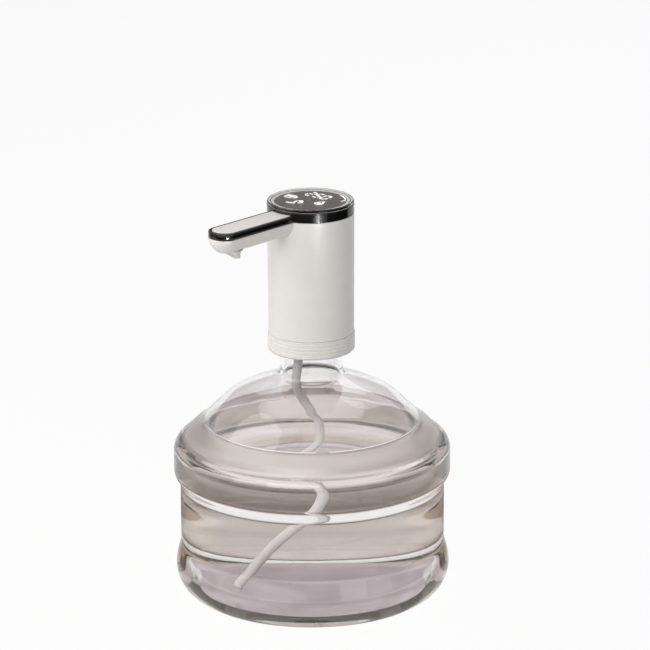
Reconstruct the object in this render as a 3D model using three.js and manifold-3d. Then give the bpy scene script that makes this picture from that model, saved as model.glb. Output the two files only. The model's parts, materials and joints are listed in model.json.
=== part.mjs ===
// A rechargeable touch-operated pump standing on the neck of a squat clear water jug.
// Millimetres, +Z up. The origin is the centre of the jug's base, and the spout points along -Y.
import * as THREE from "three";
import { mergeVertices } from "three/addons/utils/BufferGeometryUtils.js";
import Module from "manifold-3d";

const wasm = await Module();
wasm.setup();

// How finely round pieces are faceted: numbers of sides
const LARGE_SIDES = 40;
const MEDIUM_SIDES = 24;
const SMALL_SIDES = 12;
const THIN_SIDES = 6;
const JUG_CURVE_STEPS = 4;
const CORNER_STEPS = 4;
const EDGE_STEPS = 3;
const FLANK_STEPS = 3;

// Gaps: between pieces that are fixed together, between pieces that turn, and how far a cut runs past a face
const SEAM = 0.3;
const RUNNING = 0.4;
const OVERRUN = 2;
const MERGE_DISTANCE = 1e-4;

// Jug: radii
const JUG_FOOT_RADIUS = 99;
const JUG_FOOT_WIDTH = 8;
const JUG_ROLL_RADIUS = 121;
const JUG_WAIST_RADIUS = 116.5;
const JUG_RING_RADIUS = 122;
const JUG_RING_CORNER = 9;
const JUG_CREASE_RADIUS = 99;
const JUG_NECK_RADIUS = 27.5;
// Jug: heights, each counted from the one before
const JUG_PUSH_UP = 8;
const JUG_ROLL_HEIGHT = 26;
const JUG_ROLL_FADE = 24;
const JUG_WAIST_HEIGHT = 49.5;
const JUG_RING_FADE = 13.5;
const JUG_RING_HEIGHT = 17;
const JUG_RING_TOP_HEIGHT = 10.5;
const JUG_SHOULDER_HEIGHT = 13.5;
const JUG_DOME_HEIGHT = 49;
const JUG_NECK_HEIGHT = 41;
const JUG_WALL = 3.2;
const JUG_NECK_WALL = 3.5;

// Pump base ring and the sealing collar on the neck
const NECK_GRIP = 22;
const NECK_CLEARANCE = 1.7;
const COLLAR_THICKNESS = 4.6;
const BASE_SPIGOT_WALL = 2.1;
const BASE_FLANGE = 0.7;
const BASE_HEIGHT = 16;
const BASE_LIP_HEIGHT = 2.5;
const BASE_EDGE_ROUND = 2.2;
const BASE_SPIGOT_HEIGHT = 8.3;
const GROOVE_COUNT = 4;
const GROOVE_PITCH = 3.2;
const GROOVE_WIDTH = 0.9;
const GROOVE_DEPTH = 0.7;
const COLLAR_RIB = 0.5;
const COLLAR_RIB_COUNT = 2;

// Main housing and the deck inside it
const BODY_WALL = 2.2;
const BODY_FLARE = 0.5;
const BODY_HEIGHT = 107.4;
const DECK_CLEARANCE = 2.8;
const DECK_THICKNESS = 2.5;

// Black bezel: a band round the top and a frame round the spout's plate
const BAND_OVERHANG = 0.1;
const BAND_HEIGHT = 8.5;
const BAND_WALL = 3.8;
const BAND_LEDGE_HEIGHT = 2.2;
const BAND_LEDGE_WIDTH = 7;
const LENS_INSET = 0.2;
const LENS_THICKNESS = 2.5;
const LENS_BEVEL = 0.9;
const LENS_RIM_HEIGHT = 0.6;
const PANEL_THICKNESS = 1.4;
const SPACER_WIDTH = 3.5;
const BOARD_THICKNESS = 1.6;

// Spout
const SPOUT_REACH = 119;
const SPOUT_WIDTH = 27;
const SPOUT_CORNER = 11.5;
const SPOUT_DEPTH = 13.2;
const SPOUT_ROUNDING = 11;
const SPOUT_WALL = 1.8;
const TRIM_HEIGHT = 6;
const TRIM_WALL = 2.2;
const TRIM_LEDGE = 2;
const PLATE_THICKNESS = 1.5;
const NOZZLE_PLACE = 98;
const NOZZLE_RADIUS = 7.4;
const NOZZLE_BORE = 3.4;
const NOZZLE_DROP = 8.5;
const NOZZLE_SLANT = 7.5;
const NOZZLE_RISE = 3;

// Water path
const HOSE_RADIUS = 4;
const BARB_X = -7.4;
const BARB_Y = -8.2;
const BARB_NUT_RADIUS = 5.6;
const BARB_NUT_HEIGHT = 10.5;
const BARB_STEM_RADIUS = 3.2;
const BARB_BORE = 1.8;
const OUTLET_TUBE_RADIUS = 2.8;
const OUTLET_BEND = 7;

// Gear pump
const GEAR_TOOTH_COUNT = 10;
const GEAR_MODULE = 1;
const GEAR_PRESSURE_DEG = 28;
const GEAR_ADDENDUM_SHARE = 0.88;
const GEAR_DEDENDUM_SHARE = 1.15;
const GEAR_BACKLASH = 0.3;
const GEAR_HEIGHT = 6.4;
const GEAR_CENTRE_SPARE = 0.1;
const PUMP_COVER_THICKNESS = 3;
const PUMP_ROOF = 3;
const PUMP_WALL = 4.2;
const SUCTION_OFFSET = 5.8;
const IDLER_PIN_RADIUS = 1.5;
const PUMP_BARB_LENGTH = 7;
const PUMP_BARB_RADIUS = 2.8;
const PUMP_BARB_BORE = 1.6;
const SEAL_RADIUS = 3.4;
const SEAL_HEIGHT = 1.7;

// Motor
const MOTOR_RADIUS = 12.2;
const MOTOR_HEIGHT = 31;
const MOTOR_CAN_WALL = 0.8;
const MOTOR_SHAFT_RADIUS = 1.25;
const MOTOR_MAGNET_WALL = 3;
const MOTOR_AIR_GAP = 0.6;
const MOTOR_END_PLAY = 2;
const MOTOR_CAP_HEIGHT = 2.4;
const BRACKET_THICKNESS = 1.6;

// Battery, boards and charging port
const CELL_RADIUS = 9.2;
const CELL_HEIGHT = 65;
const CELL_BUTTON_RADIUS = 2.8;
const CELL_BUTTON_HEIGHT = 1.2;
const CELL_CLEARANCE = 1.4;
const CELL_TURN_DEG = 158.4;
const CLIP_WALL = 1.2;
const CLIP_HEIGHT = 20;
const MAIN_BOARD_WIDTH = 34;
const MAIN_BOARD_HEIGHT = 52;
const MAIN_BOARD_INSET = 6.6;
const CHIP_SIZE = 7;
const CHIP_THICKNESS = 1.4;
const PORT_HEIGHT = 28;
const PORT_WIDTH = 9;
const PORT_THICKNESS = 3.2;
const PORT_DEPTH = 7.3;
const PORT_SKIN = 0.35;
const PORT_TONGUE_THICKNESS = 0.7;
const PORT_TONGUE_WIDTH = 6.7;
const PORT_CLEARANCE = 0.8;
const FLAP_WIDTH = 14;
const FLAP_HEIGHT = 10;
const FLAP_THICKNESS = 1.4;
const HINGE_PIN_RADIUS = 0.7;
const HINGE_BARREL_RADIUS = 1.7;
const HINGE_EAR_WIDTH = 2;
const DIGIT_BLOCK_WIDTH = 19;
const DIGIT_BLOCK_DEPTH = 10;
const SPRING_RADIUS = 2.2;
const SPRING_WIRE = 0.3;
const SPRING_TURN_COUNT = 2.5;
const LEAD_RADIUS = 0.7;
const RIBBON_WIDTH = 8;
const RIBBON_THICKNESS = 0.5;

// Screws
const SCREW_RADIUS = 1.2;
const SCREW_LENGTH = 7;
const SCREW_HEAD_RADIUS = 2.3;
const SCREW_HEAD_HEIGHT = 1.2;
const SCREW_SLOT = 0.7;
const BOSS_WALL = 1.4;
const BOSS_HEIGHT = 9;
const SCREW_COUNT = 3;

// Radii that follow from the neck: the collar grips it, the base ring holds the collar, and the body the ring
const baseLipRadius = JUG_NECK_RADIUS + NECK_CLEARANCE;
const baseBore = JUG_NECK_RADIUS + SEAM + COLLAR_THICKNESS + RUNNING;
const bodyBore = baseBore + BASE_SPIGOT_WALL + SEAM;
const bodyLowRadius = bodyBore + BODY_WALL;
const bodyHighRadius = bodyLowRadius + BODY_FLARE;
const baseRadius = bodyLowRadius + BASE_FLANGE;
const bandRadius = bodyHighRadius + BAND_OVERHANG;
const bandBore = bandRadius - BAND_WALL;
const lensRadius = bandRadius - LENS_INSET;

// Heights that follow from the sizes above
const rollZ = JUG_ROLL_HEIGHT;
const waistLowZ = rollZ + JUG_ROLL_FADE;
const waistHighZ = waistLowZ + JUG_WAIST_HEIGHT;
const ringLowZ = waistHighZ + JUG_RING_FADE;
const ringHighZ = ringLowZ + JUG_RING_HEIGHT;
const creaseZ = ringHighZ + JUG_RING_TOP_HEIGHT + JUG_SHOULDER_HEIGHT;
const neckRootZ = creaseZ + JUG_DOME_HEIGHT;
const neckTopZ = neckRootZ + JUG_NECK_HEIGHT;
const baseBottomZ = neckTopZ - NECK_GRIP;
const baseTopZ = baseBottomZ + BASE_HEIGHT;
const deckZ = neckTopZ + DECK_CLEARANCE;
const deckTopZ = deckZ + DECK_THICKNESS;
const bodyBottomZ = baseTopZ + SEAM;
const bodyTopZ = bodyBottomZ + BODY_HEIGHT;
const bandBottomZ = bodyTopZ + SEAM;
const bandTopZ = bandBottomZ + BAND_HEIGHT;
const ledgeZ = bandBottomZ + BAND_LEDGE_HEIGHT;
const displayBoardZ = ledgeZ + SEAM;
const panelZ = bandTopZ - PANEL_THICKNESS;
const spacerZ = displayBoardZ + BOARD_THICKNESS + SEAM;
const spoutTopZ = bandBottomZ + TRIM_HEIGHT;
const spoutLowZ = bodyTopZ - SPOUT_DEPTH;
const portZ = deckTopZ + PORT_HEIGHT;

// Places that follow from the barb: the gears mesh beside it, with the driven one nearer the pump's axis
const gearCentres = GEAR_TOOTH_COUNT * GEAR_MODULE + GEAR_CENTRE_SPARE;
const meshX = BARB_X + SUCTION_OFFSET;
const driveY = BARB_Y + gearCentres / 2;
const idlerY = BARB_Y - gearCentres / 2;
const pumpCoverZ = deckTopZ + SEAM;
const pumpBodyZ = pumpCoverZ + PUMP_COVER_THICKNESS + SEAM;
const gearZ = pumpBodyZ + SEAM;
const pumpRoofZ = gearZ + GEAR_HEIGHT + SEAM;
const pumpTopZ = pumpRoofZ + PUMP_ROOF;
const bracketZ = pumpTopZ + SEAM;
const motorZ = bracketZ + BRACKET_THICKNESS + SEAM;
const motorTopZ = motorZ + MOTOR_HEIGHT;
const mainBoardY = bodyBore - MAIN_BOARD_INSET;
const cellReach = bodyBore - CELL_CLEARANCE - CLIP_WALL - SEAM - CELL_RADIUS;
const cellX = cellReach * Math.cos(THREE.MathUtils.degToRad(CELL_TURN_DEG));
const cellY = cellReach * Math.sin(THREE.MathUtils.degToRad(CELL_TURN_DEG));

// Geometry helpers
function solidOf(geometry) {
  const bare = geometry.clone();
  for (const name of ["normal", "uv"]) bare.deleteAttribute(name);
  const merged = mergeVertices(bare, MERGE_DISTANCE);
  const triVerts = new Uint32Array(merged.index.array);
  const vertProperties = merged.attributes.position.array;
  return new wasm.Manifold(new wasm.Mesh({ numProp: 3, vertProperties, triVerts }));
}

function geometryOf(solid) {
  const mesh = solid.getMesh();
  const geometry = new THREE.BufferGeometry();
  geometry.setAttribute("position", new THREE.BufferAttribute(mesh.vertProperties, 3));
  geometry.setIndex(new THREE.BufferAttribute(mesh.triVerts, 1));
  return geometry;
}

function cut(blank, ...tools) {
  return geometryOf(tools.reduce((solid, tool) => solid.subtract(solidOf(tool)), solidOf(blank)));
}

function join(...blanks) {
  return geometryOf(blanks.slice(1).reduce((solid, blank) => solid.add(solidOf(blank)), solidOf(blanks[0])));
}

function keepInside(blank, tool) {
  return geometryOf(solidOf(blank).intersect(solidOf(tool)));
}

// A turned piece: its outline is a list of [radius, height], outside going up and inside coming down.
function turned(outline, sides = LARGE_SIDES) {
  const points = outline.map(([radius, height]) => new THREE.Vector2(radius, height));
  return new THREE.LatheGeometry(points, sides).rotateX(Math.PI / 2);
}

function disc(radius, low, high, sides = LARGE_SIDES) {
  return turned([[0, low], [radius, low], [radius, high], [0, high]], sides);
}

function ring(inner, outer, low, high, sides = LARGE_SIDES) {
  return turned([[inner, low], [outer, low], [outer, high], [inner, high], [inner, low]], sides);
}

function block(width, depth, height, x, y, lowZ) {
  return new THREE.BoxGeometry(width, depth, height).translate(x, y, lowZ + height / 2);
}

function slab(shape, low, high) {
  const options = { depth: high - low, bevelEnabled: false, curveSegments: SMALL_SIDES };
  return new THREE.ExtrudeGeometry(shape, options).translate(0, 0, low);
}

// An outline in the Y-Z plane, drawn out along X about the middle.
function across(outline, width) {
  const shape = new THREE.Shape(outline.map(([y, z]) => new THREE.Vector2(y, z)));
  const drawn = new THREE.ExtrudeGeometry(shape, { depth: width, bevelEnabled: false });
  drawn.translate(0, 0, -width / 2);
  const toX = new THREE.Matrix4().makeBasis(
    new THREE.Vector3(0, 1, 0),
    new THREE.Vector3(0, 0, 1),
    new THREE.Vector3(1, 0, 0),
  );
  return drawn.applyMatrix4(toX);
}

function rodAlongX(radius, length, y, z, sides = SMALL_SIDES) {
  return new THREE.CylinderGeometry(radius, radius, length, sides).rotateZ(Math.PI / 2).translate(0, y, z);
}

function rodAlongY(radius, length, x, y, z, sides = SMALL_SIDES) {
  return new THREE.CylinderGeometry(radius, radius, length, sides).translate(x, y, z);
}

function bar(outline, curve, steps) {
  const options = { steps, extrudePath: curve, bevelEnabled: false, curveSegments: 1 };
  return new THREE.ExtrudeGeometry(outline, options);
}

function polygon(radius, sides) {
  const corners = [];
  for (let i = 0; i < sides; i++) {
    const angle = (2 * Math.PI * i) / sides;
    corners.push(new THREE.Vector2(radius * Math.cos(angle), radius * Math.sin(angle)));
  }
  return new THREE.Shape(corners);
}

function tube(route, radius, sides, steps) {
  const points = route.map((place) => new THREE.Vector3(...place));
  return bar(polygon(radius, sides), new THREE.CatmullRomCurve3(points, false, "centripetal"), steps);
}

function arcPoints(centre, radii, fromDeg, toDeg, steps) {
  const points = [];
  for (let i = 0; i <= steps; i++) {
    const angle = THREE.MathUtils.degToRad(fromDeg + ((toDeg - fromDeg) * i) / steps);
    points.push([centre[0] + radii[0] * Math.cos(angle), centre[1] + radii[1] * Math.sin(angle)]);
  }
  return points;
}

// Eases from one radius to another over a height, level with the walls at both ends.
function easePoints(from, to, steps) {
  const points = [];
  for (let i = 0; i <= steps; i++) {
    const share = i / steps;
    const eased = (1 - Math.cos(Math.PI * share)) / 2;
    points.push([from[0] + (to[0] - from[0]) * eased, from[1] + (to[1] - from[1]) * share]);
  }
  return points;
}

const water_jug_pump = new THREE.Group();

function add(name, geometry, color, roughness, metalness = 0, opacity = 1) {
  const transparent = opacity < 1;
  const material = new THREE.MeshStandardMaterial({ color, roughness, metalness, opacity, transparent });
  const mesh = new THREE.Mesh(geometry, material);
  mesh.name = name;
  water_jug_pump.add(mesh);
  return mesh;
}

// Colours from the photograph
const SHELL_WHITE = 0xe4e1de;
const PLATE_GREY = 0xd0cccb;
const GLOSS_BLACK = 0x0b0a0a;
const PANEL_DARK = 0x45413f;
const CLEAR = 0xeef1f2;
const SILICONE = 0xd9d7d8;
const INNER_WHITE = 0xe9e8e4;
const BOARD_GREEN = 0x1f5a3a;
const CHIP_BLACK = 0x17171a;
const STEEL = 0xb9bcc0;
const COPPER = 0xa9683a;
const MAGNET_GREY = 0x3c3d40;
const CELL_BLUE = 0x2f6fa8;
const LEAD_RED = 0xb3221c;

// Jug

// Shares of the way from the neck's root out to the crease, and from the crease up to the neck's root.
const DOME_SHARES = [
  [0.915, 0.143],
  [0.815, 0.286],
  [0.715, 0.429],
  [0.59, 0.571],
  [0.41, 0.694],
  [0.23, 0.796],
  [0.09, 0.878],
  [0.015, 0.94],
];
const DOME_DROP_SHARE = 1.2;
const PUSH_UP_SHARE = 0.8;

// The jug's side from its foot up to its crease, drawn in by the wall for the inside.
function jugSide(inset) {
  const rollRadius = JUG_ROLL_RADIUS - inset;
  const rollCorner = [rollRadius - JUG_FOOT_RADIUS, rollZ - inset];
  const waistRadius = JUG_WAIST_RADIUS - inset;
  const ringTopRadius = JUG_RING_RADIUS - JUG_RING_CORNER;
  const ringCorner = [JUG_RING_CORNER - inset, JUG_RING_TOP_HEIGHT - inset];
  return [
    ...arcPoints([JUG_FOOT_RADIUS, rollZ], rollCorner, -90, 0, JUG_CURVE_STEPS),
    ...easePoints([rollRadius, rollZ], [waistRadius, waistLowZ], JUG_CURVE_STEPS).slice(1),
    ...easePoints([waistRadius, waistHighZ], [JUG_RING_RADIUS - inset, ringLowZ], JUG_CURVE_STEPS),
    ...arcPoints([ringTopRadius, ringHighZ], ringCorner, 0, 90, JUG_CURVE_STEPS),
  ];
}

function jugDome(neckRadius, drop) {
  const span = JUG_CREASE_RADIUS - neckRadius;
  const low = creaseZ - drop;
  return [
    [JUG_CREASE_RADIUS, low],
    ...DOME_SHARES.map(([out, up]) => [neckRadius + span * out, low + JUG_DOME_HEIGHT * up]),
    [neckRadius, low + JUG_DOME_HEIGHT],
  ];
}

function makeJug() {
  const neckBore = JUG_NECK_RADIUS - JUG_NECK_WALL;
  const footInner = JUG_FOOT_RADIUS - JUG_FOOT_WIDTH;
  const riseRadius = footInner - JUG_FOOT_WIDTH;
  const outside = [
    [0, JUG_PUSH_UP],
    [riseRadius, JUG_PUSH_UP * PUSH_UP_SHARE],
    [footInner, 0],
    ...jugSide(0),
    ...jugDome(JUG_NECK_RADIUS, 0),
    [JUG_NECK_RADIUS, neckTopZ],
  ];
  const inside = [
    [0, JUG_PUSH_UP + JUG_WALL],
    [riseRadius, JUG_PUSH_UP * PUSH_UP_SHARE + JUG_WALL],
    [footInner, JUG_WALL],
    ...jugSide(JUG_WALL),
    ...jugDome(neckBore, JUG_WALL * DOME_DROP_SHARE),
    [neckBore, neckTopZ],
  ];
  add("jug_shell", turned([...outside, ...inside.reverse()]), CLEAR, 0.05, 0, 0.35);
}

// Silicone collar that grips the neck and turns inside the base ring

function makeCollar() {
  const low = baseBottomZ + BASE_LIP_HEIGHT + RUNNING;
  const high = neckTopZ;
  const inner = JUG_NECK_RADIUS + SEAM;
  const outer = inner + COLLAR_THICKNESS;
  const pitch = (high - low) / (COLLAR_RIB_COUNT + 1);
  const outline = [[inner, low], [outer, low]];
  for (let i = 1; i <= COLLAR_RIB_COUNT; i++) {
    const middle = low + pitch * i;
    outline.push([outer, middle - COLLAR_RIB * 2], [outer - COLLAR_RIB, middle - COLLAR_RIB]);
    outline.push([outer - COLLAR_RIB, middle + COLLAR_RIB], [outer, middle + COLLAR_RIB * 2]);
  }
  outline.push([outer, high], [inner, high], [inner, low]);
  add("neck_collar", turned(outline), SILICONE, 0.55);
}

// Grooved base ring, with a lip under the collar and a spigot up inside the housing

function makeBase() {
  const spigotRadius = bodyBore - SEAM;
  const outline = [[baseLipRadius, baseBottomZ]];
  const edge = [baseRadius - BASE_EDGE_ROUND, baseBottomZ + BASE_EDGE_ROUND];
  outline.push(...arcPoints(edge, [BASE_EDGE_ROUND, BASE_EDGE_ROUND], -90, 0, EDGE_STEPS));
  const topGroove = baseTopZ - GROOVE_PITCH / 2;
  for (let i = GROOVE_COUNT - 1; i >= 0; i--) {
    const middle = topGroove - GROOVE_PITCH * i;
    outline.push([baseRadius, middle - GROOVE_WIDTH / 2], [baseRadius - GROOVE_DEPTH, middle]);
    outline.push([baseRadius, middle + GROOVE_WIDTH / 2]);
  }
  outline.push([baseRadius, baseTopZ], [spigotRadius, baseTopZ]);
  const spigotTopZ = baseTopZ + BASE_SPIGOT_HEIGHT;
  const lipTopZ = baseBottomZ + BASE_LIP_HEIGHT;
  outline.push([spigotRadius, spigotTopZ], [baseBore, spigotTopZ]);
  outline.push([baseBore, lipTopZ], [baseLipRadius, lipTopZ]);
  outline.push([baseLipRadius, baseBottomZ]);
  add("base_ring", turned(outline), SHELL_WHITE, 0.4);
}

// Screws and the bosses that they go into

const bossRadius = SCREW_RADIUS + BOSS_WALL;
const bossPlace = baseBore - SEAM * 2 - SCREW_HEAD_RADIUS;

function bossAngles(turnDeg) {
  const step = 360 / SCREW_COUNT;
  return Array.from({ length: SCREW_COUNT }, (_, i) => THREE.MathUtils.degToRad(turnDeg + step * i));
}
const DECK_SCREW_TURN_DEG = 10;
const BEZEL_SCREW_TURN_DEG = 60;

// A screw that points up, with its head's top face at the given height when turned over.
function screw(x, y, headZ, pointsUp) {
  const outline = [
    [0, -SCREW_HEAD_HEIGHT],
    [SCREW_HEAD_RADIUS, -SCREW_HEAD_HEIGHT],
    [SCREW_HEAD_RADIUS, 0],
    [SCREW_RADIUS, 0],
    [SCREW_RADIUS, SCREW_LENGTH - SCREW_RADIUS],
    [0, SCREW_LENGTH],
  ];
  const slotLength = SCREW_HEAD_RADIUS * 2 + OVERRUN;
  const slot = block(slotLength, SCREW_SLOT, SCREW_SLOT, 0, 0, -SCREW_HEAD_HEIGHT - SCREW_SLOT / 2);
  const made = cut(turned(outline, SMALL_SIDES), slot);
  if (!pointsUp) made.rotateX(Math.PI);
  return made.translate(x, y, headZ);
}

// Main housing: a tube with bosses, a port opening, a hole for the outlet tube and the flap's two ears

const flapInnerRadius = bodyHighRadius + SEAM;
const hingeY = bodyHighRadius + RUNNING + HINGE_BARREL_RADIUS;
const hingeZ = portZ + FLAP_HEIGHT / 2;
const outletZ = spoutLowZ + SPOUT_WALL + OUTLET_TUBE_RADIUS + OUTLET_BEND / 2;

function makeHousing() {
  const shell = turned([
    [bodyBore, bodyBottomZ],
    [bodyLowRadius, bodyBottomZ],
    [bodyHighRadius, bodyTopZ],
    [bodyBore, bodyTopZ],
    [bodyBore, bodyBottomZ],
  ]);
  const bosses = [];
  const holes = [];
  const bossReach = bodyBore - bossPlace + BODY_WALL / 2;
  const rows = [
    [DECK_SCREW_TURN_DEG, deckTopZ + SEAM],
    [BEZEL_SCREW_TURN_DEG, bodyTopZ - BOSS_HEIGHT],
  ];
  for (const [turnDeg, low] of rows) {
    for (const angle of bossAngles(turnDeg)) {
      const x = bossPlace * Math.cos(angle);
      const y = bossPlace * Math.sin(angle);
      const boss = disc(bossRadius, low, low + BOSS_HEIGHT, SMALL_SIDES);
      const web = block(bossReach, BOSS_WALL, BOSS_HEIGHT, bossReach / 2, 0, low).rotateZ(angle);
      bosses.push(boss.translate(x, y, 0), web.translate(x, y, 0));
      const hole = disc(SCREW_RADIUS + SEAM, low - OVERRUN, low + BOSS_HEIGHT + OVERRUN, SMALL_SIDES);
      holes.push(hole.translate(x, y, 0));
    }
  }
  const earX = (FLAP_WIDTH - HINGE_EAR_WIDTH) / 2;
  const earDepth = hingeY - bodyLowRadius + BODY_WALL / 2;
  const earY = hingeY - earDepth / 2;
  for (const side of [-1, 1]) {
    const earHeight = HINGE_BARREL_RADIUS * 2;
    const eye = rodAlongX(HINGE_BARREL_RADIUS, HINGE_EAR_WIDTH, hingeY, hingeZ);
    const arm = block(HINGE_EAR_WIDTH, earDepth, earHeight, side * earX, earY, hingeZ - HINGE_BARREL_RADIUS);
    bosses.push(arm, eye.translate(side * earX, 0, 0));
  }
  const pinHole = rodAlongX(HINGE_PIN_RADIUS + SEAM, FLAP_WIDTH + OVERRUN, hingeY, hingeZ);
  const holeLength = BODY_WALL * 2 + OVERRUN;
  const portHole = block(
    PORT_WIDTH + PORT_CLEARANCE * 2,
    holeLength,
    PORT_THICKNESS + PORT_CLEARANCE * 2,
    0,
    bodyLowRadius,
    portZ - PORT_THICKNESS / 2 - PORT_CLEARANCE,
  );
  const tubeHole = rodAlongY(OUTLET_TUBE_RADIUS + RUNNING * 2, holeLength, 0, -bodyLowRadius, outletZ);
  const body = cut(join(shell, ...bosses), ...holes, pinHole, portHole, tubeHole);
  add("main_housing", body, SHELL_WHITE, 0.35);
  const pin = rodAlongX(HINGE_PIN_RADIUS, FLAP_WIDTH, hingeY, hingeZ);
  add("port_hinge_pin", pin, STEEL, 0.3, 1);
}

// Charging-port flap: a curved plate under a barrel that turns on the pin

function makeFlap() {
  const barrelLength = FLAP_WIDTH - HINGE_EAR_WIDTH * 2 - RUNNING * 2;
  const barrel = rodAlongX(HINGE_BARREL_RADIUS, barrelLength, hingeY, hingeZ);
  const lowZ = portZ - FLAP_HEIGHT / 2;
  const plateTopZ = hingeZ - HINGE_BARREL_RADIUS - RUNNING;
  const skin = ring(flapInnerRadius, flapInnerRadius + FLAP_THICKNESS, lowZ, plateTopZ);
  const window = block(FLAP_WIDTH, bodyHighRadius, FLAP_HEIGHT * 2, 0, bodyHighRadius, lowZ - OVERRUN);
  const plate = keepInside(skin, window);
  const linkHeight = hingeZ - plateTopZ + FLAP_THICKNESS;
  const linkY = flapInnerRadius + FLAP_THICKNESS / 2;
  const link = block(barrelLength, FLAP_THICKNESS, linkHeight, 0, linkY, plateTopZ - FLAP_THICKNESS);
  const bore = rodAlongX(HINGE_PIN_RADIUS + SEAM, FLAP_WIDTH, hingeY, hingeZ);
  add("port_cover", cut(join(barrel, plate, link), bore), SHELL_WHITE, 0.45);
}

// Deck that closes the housing above the neck

function makeDeck() {
  const radius = bodyBore - SEAM;
  const holes = [disc(BARB_STEM_RADIUS + SEAM, deckZ - OVERRUN, deckTopZ + OVERRUN, SMALL_SIDES)];
  holes[0].translate(BARB_X, BARB_Y, 0);
  bossAngles(DECK_SCREW_TURN_DEG).forEach((angle, i) => {
    const x = bossPlace * Math.cos(angle);
    const y = bossPlace * Math.sin(angle);
    const hole = disc(SCREW_RADIUS + SEAM, deckZ - OVERRUN, deckTopZ + OVERRUN, SMALL_SIDES);
    holes.push(hole.translate(x, y, 0));
    add("deck_screw_" + (i + 1), screw(x, y, deckZ - SEAM, true), STEEL, 0.35, 1);
  });
  add("deck_plate", cut(disc(radius, deckZ, deckTopZ), ...holes), INNER_WHITE, 0.5);
}

// Inlet barb under the deck, with the nut that the hose meets

function makeInlet() {
  const nutLow = deckZ - SEAM - BARB_NUT_HEIGHT;
  const top = pumpCoverZ + PUMP_COVER_THICKNESS;
  const outline = [
    [BARB_BORE, nutLow],
    [BARB_NUT_RADIUS, nutLow],
    [BARB_NUT_RADIUS, deckZ - SEAM],
    [BARB_STEM_RADIUS, deckZ - SEAM],
    [BARB_STEM_RADIUS, top],
    [BARB_BORE, top],
    [BARB_BORE, nutLow],
  ];
  add("inlet_barb", turned(outline, SMALL_SIDES).translate(BARB_X, BARB_Y, 0), INNER_WHITE, 0.45);
}

// The hose's route, chosen by hand: straight out of the barb, across the neck, then down to the lower left.
const HOSE_ROUTE = [
  [-7.4, -8.2, 236],
  [-7.4, -8.2, 226],
  [-7.7, -8.3, 215],
  [-9.1, -8.3, 204.5],
  [-11.5, -7.7, 194.5],
  [-14, -5.4, 185],
  [-15.3, -0.8, 176.5],
  [-14.7, 4.9, 168.5],
  [-12.6, 10.2, 160],
  [-10.5, 14, 151],
  [-9.1, 16.2, 141.5],
  [-7.8, 17, 131.5],
  [-6.2, 16.4, 121.5],
  [-3.9, 14.5, 111.5],
  [-0.4, 11.2, 101.5],
  [3, 5.7, 91.5],
  [3.4, -2.2, 81.5],
  [1.2, -13, 72.5],
  [-1.6, -25.7, 63],
  [-3.9, -38.2, 53],
  [-6.2, -49.9, 42],
  [-8.8, -60.9, 29.5],
  [-11.8, -70.8, 15.5],
];
const HOSE_SIDES = 10;
const HOSE_STEPS = 30;

function makeHose() {
  add("suction_hose", tube(HOSE_ROUTE, HOSE_RADIUS, HOSE_SIDES, HOSE_STEPS), SILICONE, 0.4, 0, 0.8);
}

// Gear pump

// One involute flank point: its angle from the tooth's middle at a radius.
function flankAngle(radius, backlash) {
  const pitch = (GEAR_TOOTH_COUNT * GEAR_MODULE) / 2;
  const pressure = THREE.MathUtils.degToRad(GEAR_PRESSURE_DEG);
  const base = pitch * Math.cos(pressure);
  const involute = (angle) => Math.tan(angle) - angle;
  const here = radius > base ? involute(Math.acos(base / radius)) : 0;
  return Math.PI / (2 * GEAR_TOOTH_COUNT) - backlash / (2 * pitch) + involute(pressure) - here;
}

function gear(startAngle, boreRadius) {
  const pitch = (GEAR_TOOTH_COUNT * GEAR_MODULE) / 2;
  const tip = pitch + GEAR_MODULE * GEAR_ADDENDUM_SHARE;
  const root = pitch - GEAR_MODULE * GEAR_DEDENDUM_SHARE;
  const radii = Array.from({ length: FLANK_STEPS + 1 }, (_, i) => root + ((tip - root) * i) / FLANK_STEPS);
  const outline = [];
  const place = (radius, angle) => {
    outline.push(new THREE.Vector2(radius * Math.cos(angle), radius * Math.sin(angle)));
  };
  for (let tooth = 0; tooth < GEAR_TOOTH_COUNT; tooth++) {
    const middle = startAngle + (2 * Math.PI * tooth) / GEAR_TOOTH_COUNT;
    for (const radius of radii) place(radius, middle - flankAngle(radius, GEAR_BACKLASH));
    for (const radius of radii.slice().reverse()) place(radius, middle + flankAngle(radius, GEAR_BACKLASH));
  }
  const shape = new THREE.Shape(outline);
  shape.holes.push(new THREE.Path(polygon(boreRadius, SMALL_SIDES).getPoints().reverse()));
  return slab(shape, gearZ, gearZ + GEAR_HEIGHT);
}

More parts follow.
